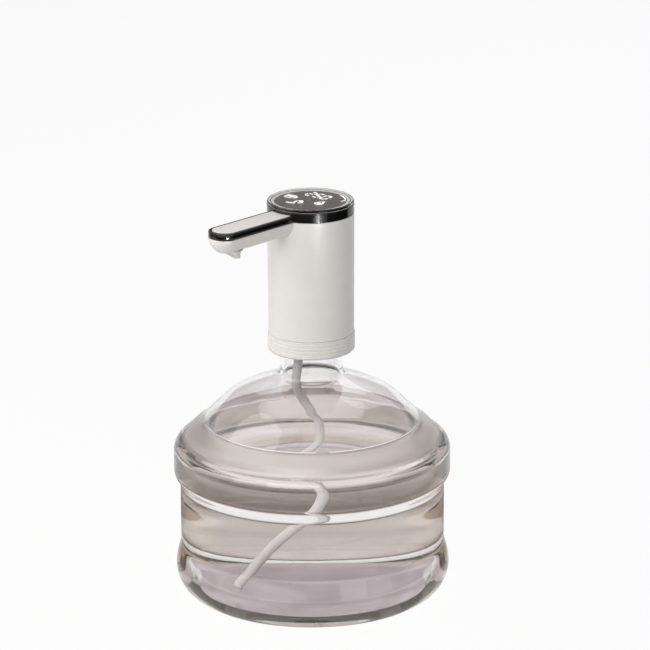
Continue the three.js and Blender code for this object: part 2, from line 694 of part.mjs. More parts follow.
function makePumpHead() {
  const tip = (GEAR_TOOTH_COUNT * GEAR_MODULE) / 2 + GEAR_MODULE * GEAR_ADDENDUM_SHARE;
  const pocket = tip + RUNNING;
  const middleY = (driveY + idlerY) / 2;
  const width = (pocket + PUMP_WALL) * 2;
  const depth = gearCentres + width;
  const cover = block(width, depth, PUMP_COVER_THICKNESS, meshX, middleY, pumpCoverZ);
  const stemHole = disc(BARB_STEM_RADIUS + SEAM, pumpCoverZ - OVERRUN, pumpBodyZ + OVERRUN, SMALL_SIDES);
  add("pump_cover", cut(cover, stemHole.translate(BARB_X, BARB_Y, 0)), INNER_WHITE, 0.45);

  const bodyHeight = pumpTopZ - pumpBodyZ;
  const blank = block(width, depth, bodyHeight, meshX, middleY, pumpBodyZ);
  const deliveryZ = gearZ + GEAR_HEIGHT / 2;
  const sideBarb = rodAlongX(PUMP_BARB_RADIUS, PUMP_BARB_LENGTH * 2, middleY, deliveryZ);
  sideBarb.translate(meshX + width / 2, 0, 0);
  const pockets = [driveY, idlerY].map((y) =>
    disc(pocket, pumpBodyZ - OVERRUN, pumpRoofZ, MEDIUM_SIDES).translate(meshX, y, 0),
  );
  const suction = disc(BARB_STEM_RADIUS, pumpBodyZ - OVERRUN, pumpRoofZ, SMALL_SIDES);
  suction.translate(BARB_X, BARB_Y, 0);
  const deliveryLength = PUMP_WALL + PUMP_BARB_LENGTH + OVERRUN * 2;
  const delivery = rodAlongX(PUMP_BARB_BORE, deliveryLength, middleY, deliveryZ);
  delivery.translate(meshX + pocket - OVERRUN + deliveryLength / 2, 0, 0);
  const shaftHole = disc(MOTOR_SHAFT_RADIUS + RUNNING, pumpBodyZ, pumpTopZ + OVERRUN, MEDIUM_SIDES);
  shaftHole.translate(meshX, driveY, 0);
  const sealTopZ = pumpTopZ - SEAM;
  const sealLowZ = sealTopZ - SEAL_HEIGHT;
  const sealPocket = disc(SEAL_RADIUS + SEAM, sealLowZ - SEAM, pumpTopZ + OVERRUN, MEDIUM_SIDES);
  sealPocket.translate(meshX, driveY, 0);
  const socketTopZ = pumpRoofZ + PUMP_ROOF / 2;
  const pinSocket = disc(IDLER_PIN_RADIUS + SEAM, pumpBodyZ, socketTopZ, SMALL_SIDES);
  pinSocket.translate(meshX, idlerY, 0);
  const body = cut(join(blank, sideBarb), ...pockets, suction, delivery, shaftHole, sealPocket, pinSocket);
  add("pump_body", body, INNER_WHITE, 0.45);

  const seal = ring(MOTOR_SHAFT_RADIUS + RUNNING, SEAL_RADIUS, sealLowZ, sealTopZ, MEDIUM_SIDES);
  add("shaft_seal", seal.translate(meshX, driveY, 0), CHIP_BLACK, 0.7);
  const pin = disc(IDLER_PIN_RADIUS, pumpBodyZ, socketTopZ - SEAM, SMALL_SIDES);
  add("idler_pin", pin.translate(meshX, idlerY, 0), STEEL, 0.3, 1);
  const driveTooth = -Math.PI / 2;
  const idlerTooth = Math.PI / 2 + Math.PI / GEAR_TOOTH_COUNT;
  const drive = gear(driveTooth, MOTOR_SHAFT_RADIUS + SEAM / 2);
  add("drive_gear", drive.translate(meshX, driveY, 0), INNER_WHITE, 0.4);
  const idler = gear(idlerTooth, IDLER_PIN_RADIUS + RUNNING);
  add("idler_gear", idler.translate(meshX, idlerY, 0), INNER_WHITE, 0.4);
}

// Motor above the gear pump, with its shaft down through the seal

function makeMotor() {
  const bracket = ring(SEAL_RADIUS, MOTOR_RADIUS, bracketZ, bracketZ + BRACKET_THICKNESS, MEDIUM_SIDES);
  add("motor_bracket", bracket.translate(meshX, driveY, 0), STEEL, 0.4, 1);

  const inside = MOTOR_RADIUS - MOTOR_CAN_WALL;
  const capZ = motorTopZ - MOTOR_CAP_HEIGHT;
  const can = turned(
    [
      [SEAL_RADIUS / 2, motorZ],
      [MOTOR_RADIUS, motorZ],
      [MOTOR_RADIUS, motorTopZ],
      [inside, motorTopZ],
      [inside, motorZ + MOTOR_CAN_WALL],
      [SEAL_RADIUS / 2, motorZ + MOTOR_CAN_WALL],
      [SEAL_RADIUS / 2, motorZ],
    ],
    MEDIUM_SIDES,
  );
  add("motor_can", can.translate(meshX, driveY, 0), STEEL, 0.35, 1);
  const endCap = ring(MOTOR_SHAFT_RADIUS + RUNNING, inside - SEAM, capZ, motorTopZ, MEDIUM_SIDES);
  add("motor_end_cap", endCap.translate(meshX, driveY, 0), CHIP_BLACK, 0.5);
  const magnetLow = motorZ + MOTOR_CAN_WALL + SEAM;
  const magnetHigh = capZ - SEAM;
  const magnetBore = inside - SEAM - MOTOR_MAGNET_WALL;
  const magnet = ring(magnetBore, inside - SEAM, magnetLow, magnetHigh, MEDIUM_SIDES);
  add("motor_magnet", magnet.translate(meshX, driveY, 0), MAGNET_GREY, 0.6);
  const core = ring(
    MOTOR_SHAFT_RADIUS + SEAM / 2,
    magnetBore - MOTOR_AIR_GAP,
    magnetLow + MOTOR_END_PLAY,
    magnetHigh - MOTOR_END_PLAY,
    MEDIUM_SIDES,
  );
  add("motor_armature", core.translate(meshX, driveY, 0), COPPER, 0.45, 0.6);
  const shaft = disc(MOTOR_SHAFT_RADIUS, gearZ, motorTopZ, MEDIUM_SIDES);
  add("motor_shaft", shaft.translate(meshX, driveY, 0), STEEL, 0.25, 1);
}

// Battery cell standing on the deck, in a clip that is open towards the motor

const CLIP_MOUTH_WIDTH_SHARE = 1.2;
const CLIP_MOUTH_PLACE_SHARE = 1.4;

function makeBattery() {
  const low = deckTopZ + SEAM;
  const top = low + CELL_HEIGHT;
  const cell = turned(
    [
      [0, low],
      [CELL_RADIUS, low],
      [CELL_RADIUS, top - CELL_BUTTON_HEIGHT],
      [CELL_BUTTON_RADIUS, top - CELL_BUTTON_HEIGHT],
      [CELL_BUTTON_RADIUS, top],
      [0, top],
    ],
    MEDIUM_SIDES,
  );
  add("battery_cell", cell.translate(cellX, cellY, 0), CELL_BLUE, 0.4);
  const clipBore = CELL_RADIUS + SEAM;
  const hoop = ring(clipBore, clipBore + CLIP_WALL, low, low + CLIP_HEIGHT, MEDIUM_SIDES);
  const mouthWidth = clipBore * CLIP_MOUTH_WIDTH_SHARE;
  const mouthPlace = clipBore * CLIP_MOUTH_PLACE_SHARE;
  const mouth = block(clipBore * 2, mouthWidth, CLIP_HEIGHT + OVERRUN * 2, mouthPlace, 0, low - OVERRUN);
  const towardsMotor = Math.atan2(driveY - cellY, meshX - cellX);
  const clip = cut(hoop, mouth.rotateZ(towardsMotor));
  add("battery_clip", clip.translate(cellX, cellY, 0), INNER_WHITE, 0.5);
}

// Main board at the back, with the charging port and a chip

function makeBoards() {
  const low = deckTopZ + SEAM;
  const board = block(MAIN_BOARD_WIDTH, BOARD_THICKNESS, MAIN_BOARD_HEIGHT, 0, mainBoardY, low);
  add("main_board", board, BOARD_GREEN, 0.5);
  const face = mainBoardY - BOARD_THICKNESS / 2 - SEAM;
  const chipY = face - CHIP_THICKNESS / 2;
  const chip = block(CHIP_SIZE, CHIP_THICKNESS, CHIP_SIZE, 0, chipY, portZ - CHIP_SIZE / 2);
  add("controller_chip", chip, CHIP_BLACK, 0.5);

  const portBack = mainBoardY + BOARD_THICKNESS / 2 + SEAM;
  const portMiddle = portBack + PORT_DEPTH / 2;
  const outer = block(PORT_WIDTH, PORT_DEPTH, PORT_THICKNESS, 0, portMiddle, portZ - PORT_THICKNESS / 2);
  const mouth = block(
    PORT_WIDTH - PORT_SKIN * 2,
    PORT_DEPTH,
    PORT_THICKNESS - PORT_SKIN * 2,
    0,
    portMiddle + PORT_SKIN,
    portZ - PORT_THICKNESS / 2 + PORT_SKIN,
  );
  const tongue = block(
    PORT_TONGUE_WIDTH,
    PORT_DEPTH - PORT_SKIN * 2,
    PORT_TONGUE_THICKNESS,
    0,
    portMiddle - PORT_SKIN / 2,
    portZ - PORT_TONGUE_THICKNESS / 2,
  );
  add("charging_port", join(cut(outer, mouth), tongue), STEEL, 0.3, 1);
}

// Outlet tube: from the gear pump's side barb up past the motor and along the spout to the nozzle

// Shares of the bend: out from the barb and up
const OUTLET_TURN_SHARES = [[0.15, 0], [0.5, 0.2], [1, 1], [1, 2]];
// Shares of the way across, of the way to the spout's side of the bore, and of the bend downwards
const OUTLET_CROSS_SHARES = [[1, 0.233, 4], [0.85, 0.303, 2], [0.4, 0.6, 0.33], [0, 0.9, 0], [0, 1.2, 0]];
// Shares of the bend: short of the nozzle and down
const OUTLET_DROP_SHARES = [[1, 0], [0.25, 0.25], [0, 0.45]];
const OUTLET_SIDES = 8;
const OUTLET_STEPS = 40;

function makeOutletTube() {
  const pocket = (GEAR_TOOTH_COUNT * GEAR_MODULE) / 2 + GEAR_MODULE * GEAR_ADDENDUM_SHARE + RUNNING;
  const startX = meshX + pocket + PUMP_WALL + PUMP_BARB_LENGTH + SEAM;
  const startZ = gearZ + GEAR_HEIGHT / 2;
  const riseX = startX + OUTLET_BEND;
  const endZ = spoutLowZ + NOZZLE_RISE + SEAM * 2;
  const route = [[startX, BARB_Y, startZ]];
  for (const [out, up] of OUTLET_TURN_SHARES) {
    route.push([startX + OUTLET_BEND * out, BARB_Y, startZ + OUTLET_BEND * up]);
  }
  for (const [across, forward, down] of OUTLET_CROSS_SHARES) {
    route.push([riseX * across, -bodyBore * forward, outletZ - OUTLET_BEND * down]);
  }
  for (const [short, down] of OUTLET_DROP_SHARES) {
    route.push([0, OUTLET_BEND * short - NOZZLE_PLACE, outletZ - OUTLET_BEND * down]);
  }
  route.push([0, -NOZZLE_PLACE, endZ]);
  add("outlet_tube", tube(route, OUTLET_TUBE_RADIUS, OUTLET_SIDES, OUTLET_STEPS), SILICONE, 0.4, 0, 0.8);
}

// Spout and bezel

// The spout seen from above, drawn in by an inset, from inside the housing out to its round-cornered tip.
function spoutOutline(inset) {
  const half = SPOUT_WIDTH / 2 - inset;
  const tip = SPOUT_REACH - inset;
  const corner = Math.min(SPOUT_CORNER, half);
  const root = bandRadius - BAND_WALL - BAND_LEDGE_WIDTH;
  const right = arcPoints([half - corner, corner - tip], [corner, corner], -90, 0, CORNER_STEPS).reverse();
  const left = arcPoints([corner - half, corner - tip], [corner, corner], 180, 270, CORNER_STEPS).reverse();
  return [[-half, -root], [half, -root], ...right, ...left];
}

function spoutShape(inset) {
  return new THREE.Shape(spoutOutline(inset).map(([x, y]) => new THREE.Vector2(x, y)));
}

const HULL_TURNS_DEG = [0, 22, 42, 60, 76];

// A closed hull of stacked outlines, from the highest down, rounded in towards its keel.
function hull(wall, top) {
  const turns = HULL_TURNS_DEG.map((degrees) => THREE.MathUtils.degToRad(degrees));
  const fullTurn = turns[turns.length - 1];
  const rings = turns.map((turn) => {
    const inset = wall + SPOUT_ROUNDING * (1 - Math.cos(turn));
    const height = bodyTopZ - (SPOUT_DEPTH - wall) * (Math.sin(turn) / Math.sin(fullTurn));
    return spoutOutline(inset).map(([x, y]) => [x, y, height]);
  });
  if (top > bodyTopZ) rings.unshift(rings[0].map(([x, y]) => [x, y, top]));
  const count = rings[0].length;
  const positions = rings.flat().flat();
  const index = [];
  for (let level = 0; level + 1 < rings.length; level++) {
    for (let i = 0; i < count; i++) {
      const high = level * count + i;
      const highNext = level * count + ((i + 1) % count);
      index.push(high, highNext, high + count, highNext, highNext + count, high + count);
    }
  }
  for (let i = 1; i + 1 < count; i++) {
    const last = (rings.length - 1) * count;
    index.push(0, i + 1, i, last, last + i, last + i + 1);
  }
  const geometry = new THREE.BufferGeometry();
  geometry.setAttribute("position", new THREE.Float32BufferAttribute(positions, 3));
  geometry.setIndex(index);
  return geometry;
}

function makeSpout() {
  const bodyClear = disc(bodyHighRadius + SEAM, spoutLowZ - OVERRUN, spoutTopZ + OVERRUN);
  const nozzleTopZ = spoutLowZ + NOZZLE_RISE;
  const nozzleLowZ = spoutLowZ - NOZZLE_DROP;
  const nozzleHole = disc(NOZZLE_RADIUS + SEAM, nozzleLowZ, nozzleTopZ + SEAM, MEDIUM_SIDES);
  nozzleHole.translate(0, -NOZZLE_PLACE, 0);
  const shell = cut(hull(0, bodyTopZ), hull(SPOUT_WALL, bodyTopZ + OVERRUN), bodyClear, nozzleHole);
  add("spout_shell", shell, SHELL_WHITE, 0.35);

  const barrel = ring(NOZZLE_BORE, NOZZLE_RADIUS, nozzleLowZ, nozzleTopZ, MEDIUM_SIDES);
  barrel.translate(0, -NOZZLE_PLACE, 0);
  const nearY = -NOZZLE_PLACE + NOZZLE_RADIUS;
  const farY = -NOZZLE_PLACE - NOZZLE_RADIUS;
  const wedge = across(
    [
      [nearY, nozzleLowZ],
      [farY, nozzleLowZ + NOZZLE_SLANT],
      [farY - OVERRUN, nozzleLowZ + NOZZLE_SLANT],
      [farY - OVERRUN, nozzleLowZ - OVERRUN],
      [nearY, nozzleLowZ - OVERRUN],
    ],
    NOZZLE_RADIUS * 2 + OVERRUN,
  );
  add("spout_nozzle", cut(barrel, wedge), SHELL_WHITE, 0.4);

  const plateLowZ = spoutTopZ - PLATE_THICKNESS;
  const plate = slab(spoutShape(TRIM_WALL + SEAM), plateLowZ, spoutTopZ);
  const bandClear = disc(bandRadius + SEAM, plateLowZ - OVERRUN, spoutTopZ + OVERRUN);
  add("spout_top_plate", cut(plate, bandClear), PLATE_GREY, 0.4);
}

function makeBezel() {
  const ledgeBore = bandBore - BAND_LEDGE_WIDTH;
  const band = turned([
    [ledgeBore, bandBottomZ],
    [bandRadius, bandBottomZ],
    [bandRadius, bandTopZ],
    [bandBore, bandTopZ],
    [bandBore, ledgeZ],
    [ledgeBore, ledgeZ],
    [ledgeBore, bandBottomZ],
  ]);
  const seatZ = spoutTopZ - PLATE_THICKNESS - SEAM;
  const frame = cut(
    slab(spoutShape(0), bandBottomZ, spoutTopZ),
    slab(spoutShape(TRIM_WALL), seatZ, spoutTopZ + OVERRUN),
    slab(spoutShape(TRIM_WALL + TRIM_LEDGE), bandBottomZ - OVERRUN, spoutTopZ),
    disc(bandRadius - SEAM, bandBottomZ - OVERRUN, spoutTopZ + OVERRUN),
  );
  const holes = [];
  bossAngles(BEZEL_SCREW_TURN_DEG).forEach((angle, i) => {
    const x = bossPlace * Math.cos(angle);
    const y = bossPlace * Math.sin(angle);
    const headSeatZ = ledgeZ - SCREW_HEAD_HEIGHT - SEAM;
    const stemHole = disc(SCREW_RADIUS + SEAM, bandBottomZ - OVERRUN, ledgeZ + OVERRUN, SMALL_SIDES);
    const headHole = disc(SCREW_HEAD_RADIUS + SEAM, headSeatZ, ledgeZ + OVERRUN, SMALL_SIDES);
    holes.push(stemHole.translate(x, y, 0), headHole.translate(x, y, 0));
    add("bezel_screw_" + (i + 1), screw(x, y, headSeatZ + SEAM, false), STEEL, 0.35, 1);
  });
  const notchDepth = RIBBON_THICKNESS + RUNNING * 2;
  holes.push(
    block(
      RIBBON_WIDTH + RUNNING * 2,
      notchDepth,
      BAND_LEDGE_HEIGHT + OVERRUN * 2,
      0,
      mainBoardY,
      bandBottomZ - OVERRUN,
    ),
  );
  add("top_bezel", cut(join(band, frame), ...holes), GLOSS_BLACK, 0.08);
}

// Display under the clear lens: board, digit block, touch springs, spacer ring, dark panel and lens

// Places of the touch springs, as shares of the board's radius
const SPRING_PLACE_SHARES = [[-0.45, -0.3], [0.45, -0.3], [0, -0.6]];
const SPRING_TURN_STEPS = 8;

function makeDisplay() {
  const radius = bandBore - SEAM;
  const boardTopZ = displayBoardZ + BOARD_THICKNESS;
  add("display_board", disc(radius, displayBoardZ, boardTopZ), BOARD_GREEN, 0.5);
  const spacerTopZ = panelZ - SEAM;
  add("panel_spacer", ring(radius - SPACER_WIDTH, radius, spacerZ, spacerTopZ), INNER_WHITE, 0.5);
  add("touch_panel", disc(radius, panelZ, bandTopZ), PANEL_DARK, 0.25);
  const digits = block(
    DIGIT_BLOCK_WIDTH,
    DIGIT_BLOCK_DEPTH,
    spacerTopZ - spacerZ,
    0,
    DIGIT_BLOCK_DEPTH,
    spacerZ,
  );
  add("digit_block", digits, SHELL_WHITE, 0.5);
  const springHeight = spacerTopZ - spacerZ - SPRING_WIRE * 2;
  SPRING_PLACE_SHARES.forEach(([shareX, shareY], i) => {
    const turns = [];
    const steps = Math.round(SPRING_TURN_COUNT * SPRING_TURN_STEPS);
    for (let step = 0; step <= steps; step++) {
      const angle = (2 * Math.PI * SPRING_TURN_COUNT * step) / steps;
      const x = radius * shareX + SPRING_RADIUS * Math.cos(angle);
      const y = radius * shareY + SPRING_RADIUS * Math.sin(angle);
      turns.push([x, y, spacerZ + SPRING_WIRE + (springHeight * step) / steps]);
    }
    add("touch_spring_" + (i + 1), tube(turns, SPRING_WIRE, THIN_SIDES, steps), STEEL, 0.3, 1);
  });
  const lensZ = bandTopZ + SEAM;
  const lensTopZ = lensZ + LENS_THICKNESS;
  const lens = turned([
    [0, lensZ],
    [lensRadius, lensZ],
    [lensRadius, lensZ + LENS_RIM_HEIGHT],
    [lensRadius, lensTopZ - LENS_BEVEL],
    [lensRadius - LENS_BEVEL, lensTopZ],
    [0, lensTopZ],
  ]);
  add("cap_lens", lens, CLEAR, 0.03, 0, 0.3);
}

// Leads: battery to board, motor to board, and the ribbon up to the display board

const LEAD_STEPS = 16;
const BATTERY_LEAD_PLACE_SHARE = 0.6;
const MOTOR_LEAD_PLACE_SHARE = 0.5;
// Shares of the motor's radius: back and up
const MOTOR_LEAD_SHARES = [[0.5, 0.33], [1.4, 0.33]];

function makeLeads() {
  const face = mainBoardY - BOARD_THICKNESS / 2 - SEAM;
  const low = deckTopZ + SEAM;
  const cellTopZ = low + CELL_HEIGHT;
  const boardTopZ = low + MAIN_BOARD_HEIGHT;
  const boardHalf = MAIN_BOARD_WIDTH / 2;
  const cellLeadX = -boardHalf * BATTERY_LEAD_PLACE_SHARE;
  const batteryRoute = [
    [cellX, cellY, cellTopZ + LEAD_RADIUS + SEAM],
    [cellX + CELL_RADIUS / 2, cellY + CELL_RADIUS / 2, cellTopZ + CELL_RADIUS / 2],
    [cellLeadX, (cellY + face) / 2, cellTopZ],
    [cellLeadX, face - CELL_RADIUS / 2, boardTopZ - CELL_RADIUS / 2],
    [cellLeadX, face - LEAD_RADIUS, boardTopZ - CELL_RADIUS],
    [cellLeadX, face, boardTopZ - CELL_RADIUS],
  ];
  add("battery_lead", tube(batteryRoute, LEAD_RADIUS, THIN_SIDES, LEAD_STEPS), LEAD_RED, 0.4);

  const tagX = meshX + MOTOR_RADIUS / 2;
  const tagY = driveY + MOTOR_RADIUS / 2;
  const motorLeadX = boardHalf * MOTOR_LEAD_PLACE_SHARE;
  const bends = MOTOR_LEAD_SHARES.map(([back, up]) => {
    return [tagX, driveY + MOTOR_RADIUS * back, motorTopZ + MOTOR_RADIUS * up];
  });
  const motorRoute = [
    [tagX, tagY - LEAD_RADIUS, motorTopZ + SEAM],
    ...bends,
    [motorLeadX, face - MOTOR_RADIUS / 2, motorTopZ - MOTOR_RADIUS / 4],
    [motorLeadX, face - LEAD_RADIUS, motorTopZ - MOTOR_RADIUS / 2],
    [motorLeadX, face, motorTopZ - MOTOR_RADIUS / 2],
  ];
  add("motor_lead", tube(motorRoute, LEAD_RADIUS, THIN_SIDES, LEAD_STEPS), CHIP_BLACK, 0.4);

  const ribbonZ = boardTopZ + SEAM;
  const ribbonTopZ = displayBoardZ - SEAM;
  const ribbon = block(RIBBON_WIDTH, RIBBON_THICKNESS, ribbonTopZ - ribbonZ, 0, mainBoardY, ribbonZ);
  add("display_ribbon", ribbon, INNER_WHITE, 0.5);
}

makeJug();
makeCollar();
makeBase();
makeHousing();
makeFlap();
makeDeck();
makeInlet();
makeHose();
makePumpHead();
makeMotor();
makeBattery();
makeBoards();
makeOutletTube();
makeSpout();
makeBezel();
makeDisplay();
makeLeads();

export default water_jug_pump;
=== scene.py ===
# Looks for a touch-operated pump on the neck of a squat clear water jug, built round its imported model.
# Metres, +Z up. The origin is the centre of the jug's base, and the spout points along -Y.
import json
import math

import bmesh
import bpy
from mathutils import Matrix, Vector


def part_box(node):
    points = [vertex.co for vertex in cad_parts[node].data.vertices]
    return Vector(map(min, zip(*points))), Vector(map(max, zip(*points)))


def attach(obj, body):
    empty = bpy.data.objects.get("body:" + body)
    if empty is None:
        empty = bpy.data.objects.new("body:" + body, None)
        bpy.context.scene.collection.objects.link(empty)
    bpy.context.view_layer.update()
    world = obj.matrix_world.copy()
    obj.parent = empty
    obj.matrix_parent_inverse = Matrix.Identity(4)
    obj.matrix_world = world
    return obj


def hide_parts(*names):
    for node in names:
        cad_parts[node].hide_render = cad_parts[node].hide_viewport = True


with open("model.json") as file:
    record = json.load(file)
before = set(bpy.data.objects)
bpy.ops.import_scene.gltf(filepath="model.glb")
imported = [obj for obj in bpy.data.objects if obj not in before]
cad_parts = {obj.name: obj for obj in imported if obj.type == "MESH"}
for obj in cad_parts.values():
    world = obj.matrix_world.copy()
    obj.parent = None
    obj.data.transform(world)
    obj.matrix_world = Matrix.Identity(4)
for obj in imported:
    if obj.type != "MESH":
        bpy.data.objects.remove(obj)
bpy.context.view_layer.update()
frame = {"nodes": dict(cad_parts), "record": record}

MM = 0.001
scene = bpy.context.scene
scene.view_settings.view_transform = "Standard"


def placed(name, data):
    """A new object in the scene."""
    made = bpy.data.objects.new(name, data)
    scene.collection.objects.link(made)
    return made


# Camera: looks at the jug from its right front, a little above

CAMERA_AZIMUTH_DEG = 43.5
CAMERA_REACH = 3.29
CAMERA_HEIGHT = 1.276
CAMERA_ROLL = math.radians(-0.36)
PHOTO_SIDE_PX = 650
FOCAL_PX = 3945
BASE_CENTRE_PX = (312.9, 584.7)
SENSOR_WIDTH_MM = 36
FAR_CLIP = 100


def from_camera(turn_deg, reach, height=0.0):
    """A place at a reach and a height, some degrees round the jug from the camera's side."""
    turn = math.radians(CAMERA_AZIMUTH_DEG + turn_deg)
    return reach * math.sin(turn), -reach * math.cos(turn), height


def make_camera():
    place = Vector(from_camera(0, CAMERA_REACH, CAMERA_HEIGHT))
    middle = PHOTO_SIDE_PX / 2
    towards_base = Vector((
        (BASE_CENTRE_PX[0] - middle) / FOCAL_PX,
        (middle - BASE_CENTRE_PX[1]) / FOCAL_PX,
        -1,
    ))
    look = (-place).to_track_quat("-Z", "Y")
    roll = Matrix.Rotation(CAMERA_ROLL, 4, "Z").to_quaternion()
    shifted = towards_base.normalized().rotation_difference(Vector((0, 0, -1)))
    data = bpy.data.cameras.new("camera")
    data.sensor_width = SENSOR_WIDTH_MM
    data.lens = FOCAL_PX * SENSOR_WIDTH_MM / PHOTO_SIDE_PX
    data.clip_end = FAR_CLIP
    camera = placed("camera", data)
    camera.rotation_mode = "QUATERNION"
    camera.rotation_quaternion = look @ roll @ shifted
    camera.location = place
    scene.camera = camera


make_camera()


# Mesh helpers

SHARP_DEG = 38
LATHE_SIDES = 144
FILLET_STEPS = 5
STRAIGHT_DEG = 89.5
TINY = 1e-7
FLAT_SHARE = 5
BRACE = 0.06
MITRE_LIMIT = 0.3


def smooth(mesh, sharp_deg):
    mesh.polygons.foreach_set("use_smooth", [True] * len(mesh.polygons))
    mesh.set_sharp_from_angle(angle=math.radians(sharp_deg))


def closed_mesh(name, vertices, faces, merge=False):
    """A mesh with all its faces turned outwards, and points that coincide merged if wanted."""
    mesh = bpy.data.meshes.new(name)
    mesh.from_pydata(vertices, [], faces)
    shape = bmesh.new()
    shape.from_mesh(mesh)
    if merge:
        bmesh.ops.remove_doubles(shape, verts=shape.verts, dist=TINY)
    bmesh.ops.recalc_face_normals(shape, faces=shape.faces)
    shape.to_mesh(mesh)
    shape.free()
    return mesh


def piece_from(name, parts, look, body, replaces=(), sharp_deg=SHARP_DEG):
    """One mesh piece from a list of closed shells, each (vertices in millimetres, faces)."""
    vertices = []
    faces = []
    for points, corners in parts:
        start = len(vertices)
        vertices.extend(Vector(point) * MM for point in points)
        faces.extend([tuple(start + i for i in face) for face in corners])
    mesh = closed_mesh(name, vertices, faces, merge=True)
    smooth(mesh, sharp_deg)
    piece = placed(name, mesh)
    mesh.materials.append(LOOKS[look])
    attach(piece, body)
    if replaces:
        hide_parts(*replaces)
    return piece


def rounded(outline, steps=FILLET_STEPS):
    """Fillets a closed outline of (x, y) or (x, y, fillet radius) points."""
    made = []
    for i, point in enumerate(outline):
        here = Vector(point[:2])
        before = Vector(outline[i - 1][:2]) - here
        after = Vector(outline[(i + 1) % len(outline)][:2]) - here
        fillet = point[2] if len(point) > 2 else 0
        half = before.angle(after) / 2 if fillet else 0
        if not fillet or half > math.radians(STRAIGHT_DEG):
            made.append(tuple(here))
            continue
        run = min(fillet / math.tan(half), before.length / 2, after.length / 2)
        radius = run * math.tan(half)
        middle = (before.normalized() + after.normalized()).normalized()
        centre = here + middle * (radius / math.sin(half))
        start = here + before.normalized() * run - centre
        end = here + after.normalized() * run - centre
        from_angle = math.atan2(start.y, start.x)
        sweep = (math.atan2(end.y, end.x) - from_angle + math.pi) % (2 * math.pi) - math.pi
        for step in range(steps + 1):
            angle = from_angle + sweep * step / steps
            made.append((centre.x + radius * math.cos(angle), centre.y + radius * math.sin(angle)))
    return made


def arc(centre, radii, from_deg, to_deg, steps):
    points = []
    for i in range(steps + 1):
        angle = math.radians(from_deg + (to_deg - from_deg) * i / steps)
        points.append((centre[0] + radii[0] * math.cos(angle), centre[1] + radii[1] * math.sin(angle)))
    return points


def ease(start, end, steps):
    """Eases from one radius to another over a height, level with the walls at both ends."""
    points = []
    for i in range(steps + 1):
        share = i / steps
        eased = (1 - math.cos(math.pi * share)) / 2
        points.append((start[0] + (end[0] - start[0]) * eased, start[1] + (end[1] - start[1]) * share))
    return points


def catmull(points, steps):
    """A centripetal Catmull-Rom path through points."""
    inner = [Vector(point) for point in points]
    knots = [inner[0] * 2 - inner[1], *inner, inner[-1] * 2 - inner[-2]]
    made = []
    for p0, p1, p2, p3 in zip(knots, knots[1:], knots[2:], knots[3:]):
        t1 = (p1 - p0).length ** 0.5
        t2 = t1 + (p2 - p1).length ** 0.5
        t3 = t2 + (p3 - p2).length ** 0.5
        for step in range(steps):
            t = t1 + (t2 - t1) * step / steps
            a1 = p0.lerp(p1, t / t1)
            a2 = p1.lerp(p2, (t - t1) / (t2 - t1))
            a3 = p2.lerp(p3, (t - t2) / (t3 - t2))
            b1 = a1.lerp(a2, t / t2)
            b2 = a2.lerp(a3, (t - t1) / (t3 - t1))
            made.append(b1.lerp(b2, (t - t1) / (t2 - t1)))
    made.append(inner[-1])
    return made


def braced(outline):
    """Adds a point near each end of a long straight stretch, so that smooth shading leaves it flat."""
    points = [Vector(point) for point in outline]
    made = []
    for i, here in enumerate(points):
        after = points[(i + 1) % len(points)]
        made.append(tuple(here))
        run = (after - here).length
        before_run = (here - points[i - 1]).length
        after_run = (points[(i + 2) % len(points)] - after).length
        if run > FLAT_SHARE * before_run:
            made.append(tuple(here.lerp(after, BRACE / run)))
        if run > FLAT_SHARE * after_run:
            made.append(tuple(after.lerp(here, BRACE / run)))
    return made


def lathe(outline, sides=LATHE_SIDES, middle=(0, 0)):
    """Turns a closed outline of (radius, height) points about the vertical through middle."""
    vertices = []
    rows = []
    for radius, height in braced(outline):
        start = len(vertices)
        if radius < TINY:
            vertices.append((middle[0], middle[1], height))
            rows.append([start] * sides)
            continue
        rows.append(range(start, start + sides))
        for i in range(sides):
            angle = 2 * math.pi * i / sides
            x = middle[0] + radius * math.cos(angle)
            y = middle[1] + radius * math.sin(angle)
            vertices.append((x, y, height))
    faces = []
    for low, high in zip(rows, [*rows[1:], rows[0]]):
        for i in range(sides):
            n = (i + 1) % sides
            corners = list(dict.fromkeys((low[i], low[n], high[n], high[i])))
            if len(corners) > 2:
                faces.append(tuple(corners))
    return vertices, faces


def stack(rings, wrap=False):
    """Skins rings with the same count of points. It closes the ends, or joins the last ring to the first."""
    count = len(rings[0])
    vertices = [point for ring in rings for point in ring]
    faces = []
    pairs = [(row, row + 1) for row in range(len(rings) - 1)]
    if wrap:
        pairs.append((len(rings) - 1, 0))
    for low, high in pairs:
        for i in range(count):
            n = (i + 1) % count
            faces.append((low * count + i, low * count + n, high * count + n, high * count + i))
    if not wrap:
        faces.append(tuple(range(count)))
        faces.append(tuple(range((len(rings) - 1) * count, len(rings) * count)))
    return vertices, faces


def pad(outline, layers):
    """Stacks copies of one level outline: layers are (inset, height), where an inset draws it in evenly."""
    return stack([[(x, y, height) for x, y in drawn_in(outline, inset)] for inset, height in layers])


def drawn_in(outline, inset):
    """Moves each corner of an outline inwards by an even distance."""
    points = [Vector(point) for point in outline]
    area = sum(a.x * b.y - b.x * a.y for a, b in zip(points, [*points[1:], points[0]]))
    side = 1 if area > 0 else -1
    made = []
    for i, here in enumerate(points):
        before = (here - points[i - 1]).normalized()
        after = (points[(i + 1) % len(points)] - here).normalized()
        normals = [Vector((-d.y, d.x)) * side for d in (before, after)]
        middle = (normals[0] + normals[1]).normalized()
        made.append(tuple(here + middle * (inset / max(middle.dot(normals[0]), MITRE_LIMIT))))
    return made


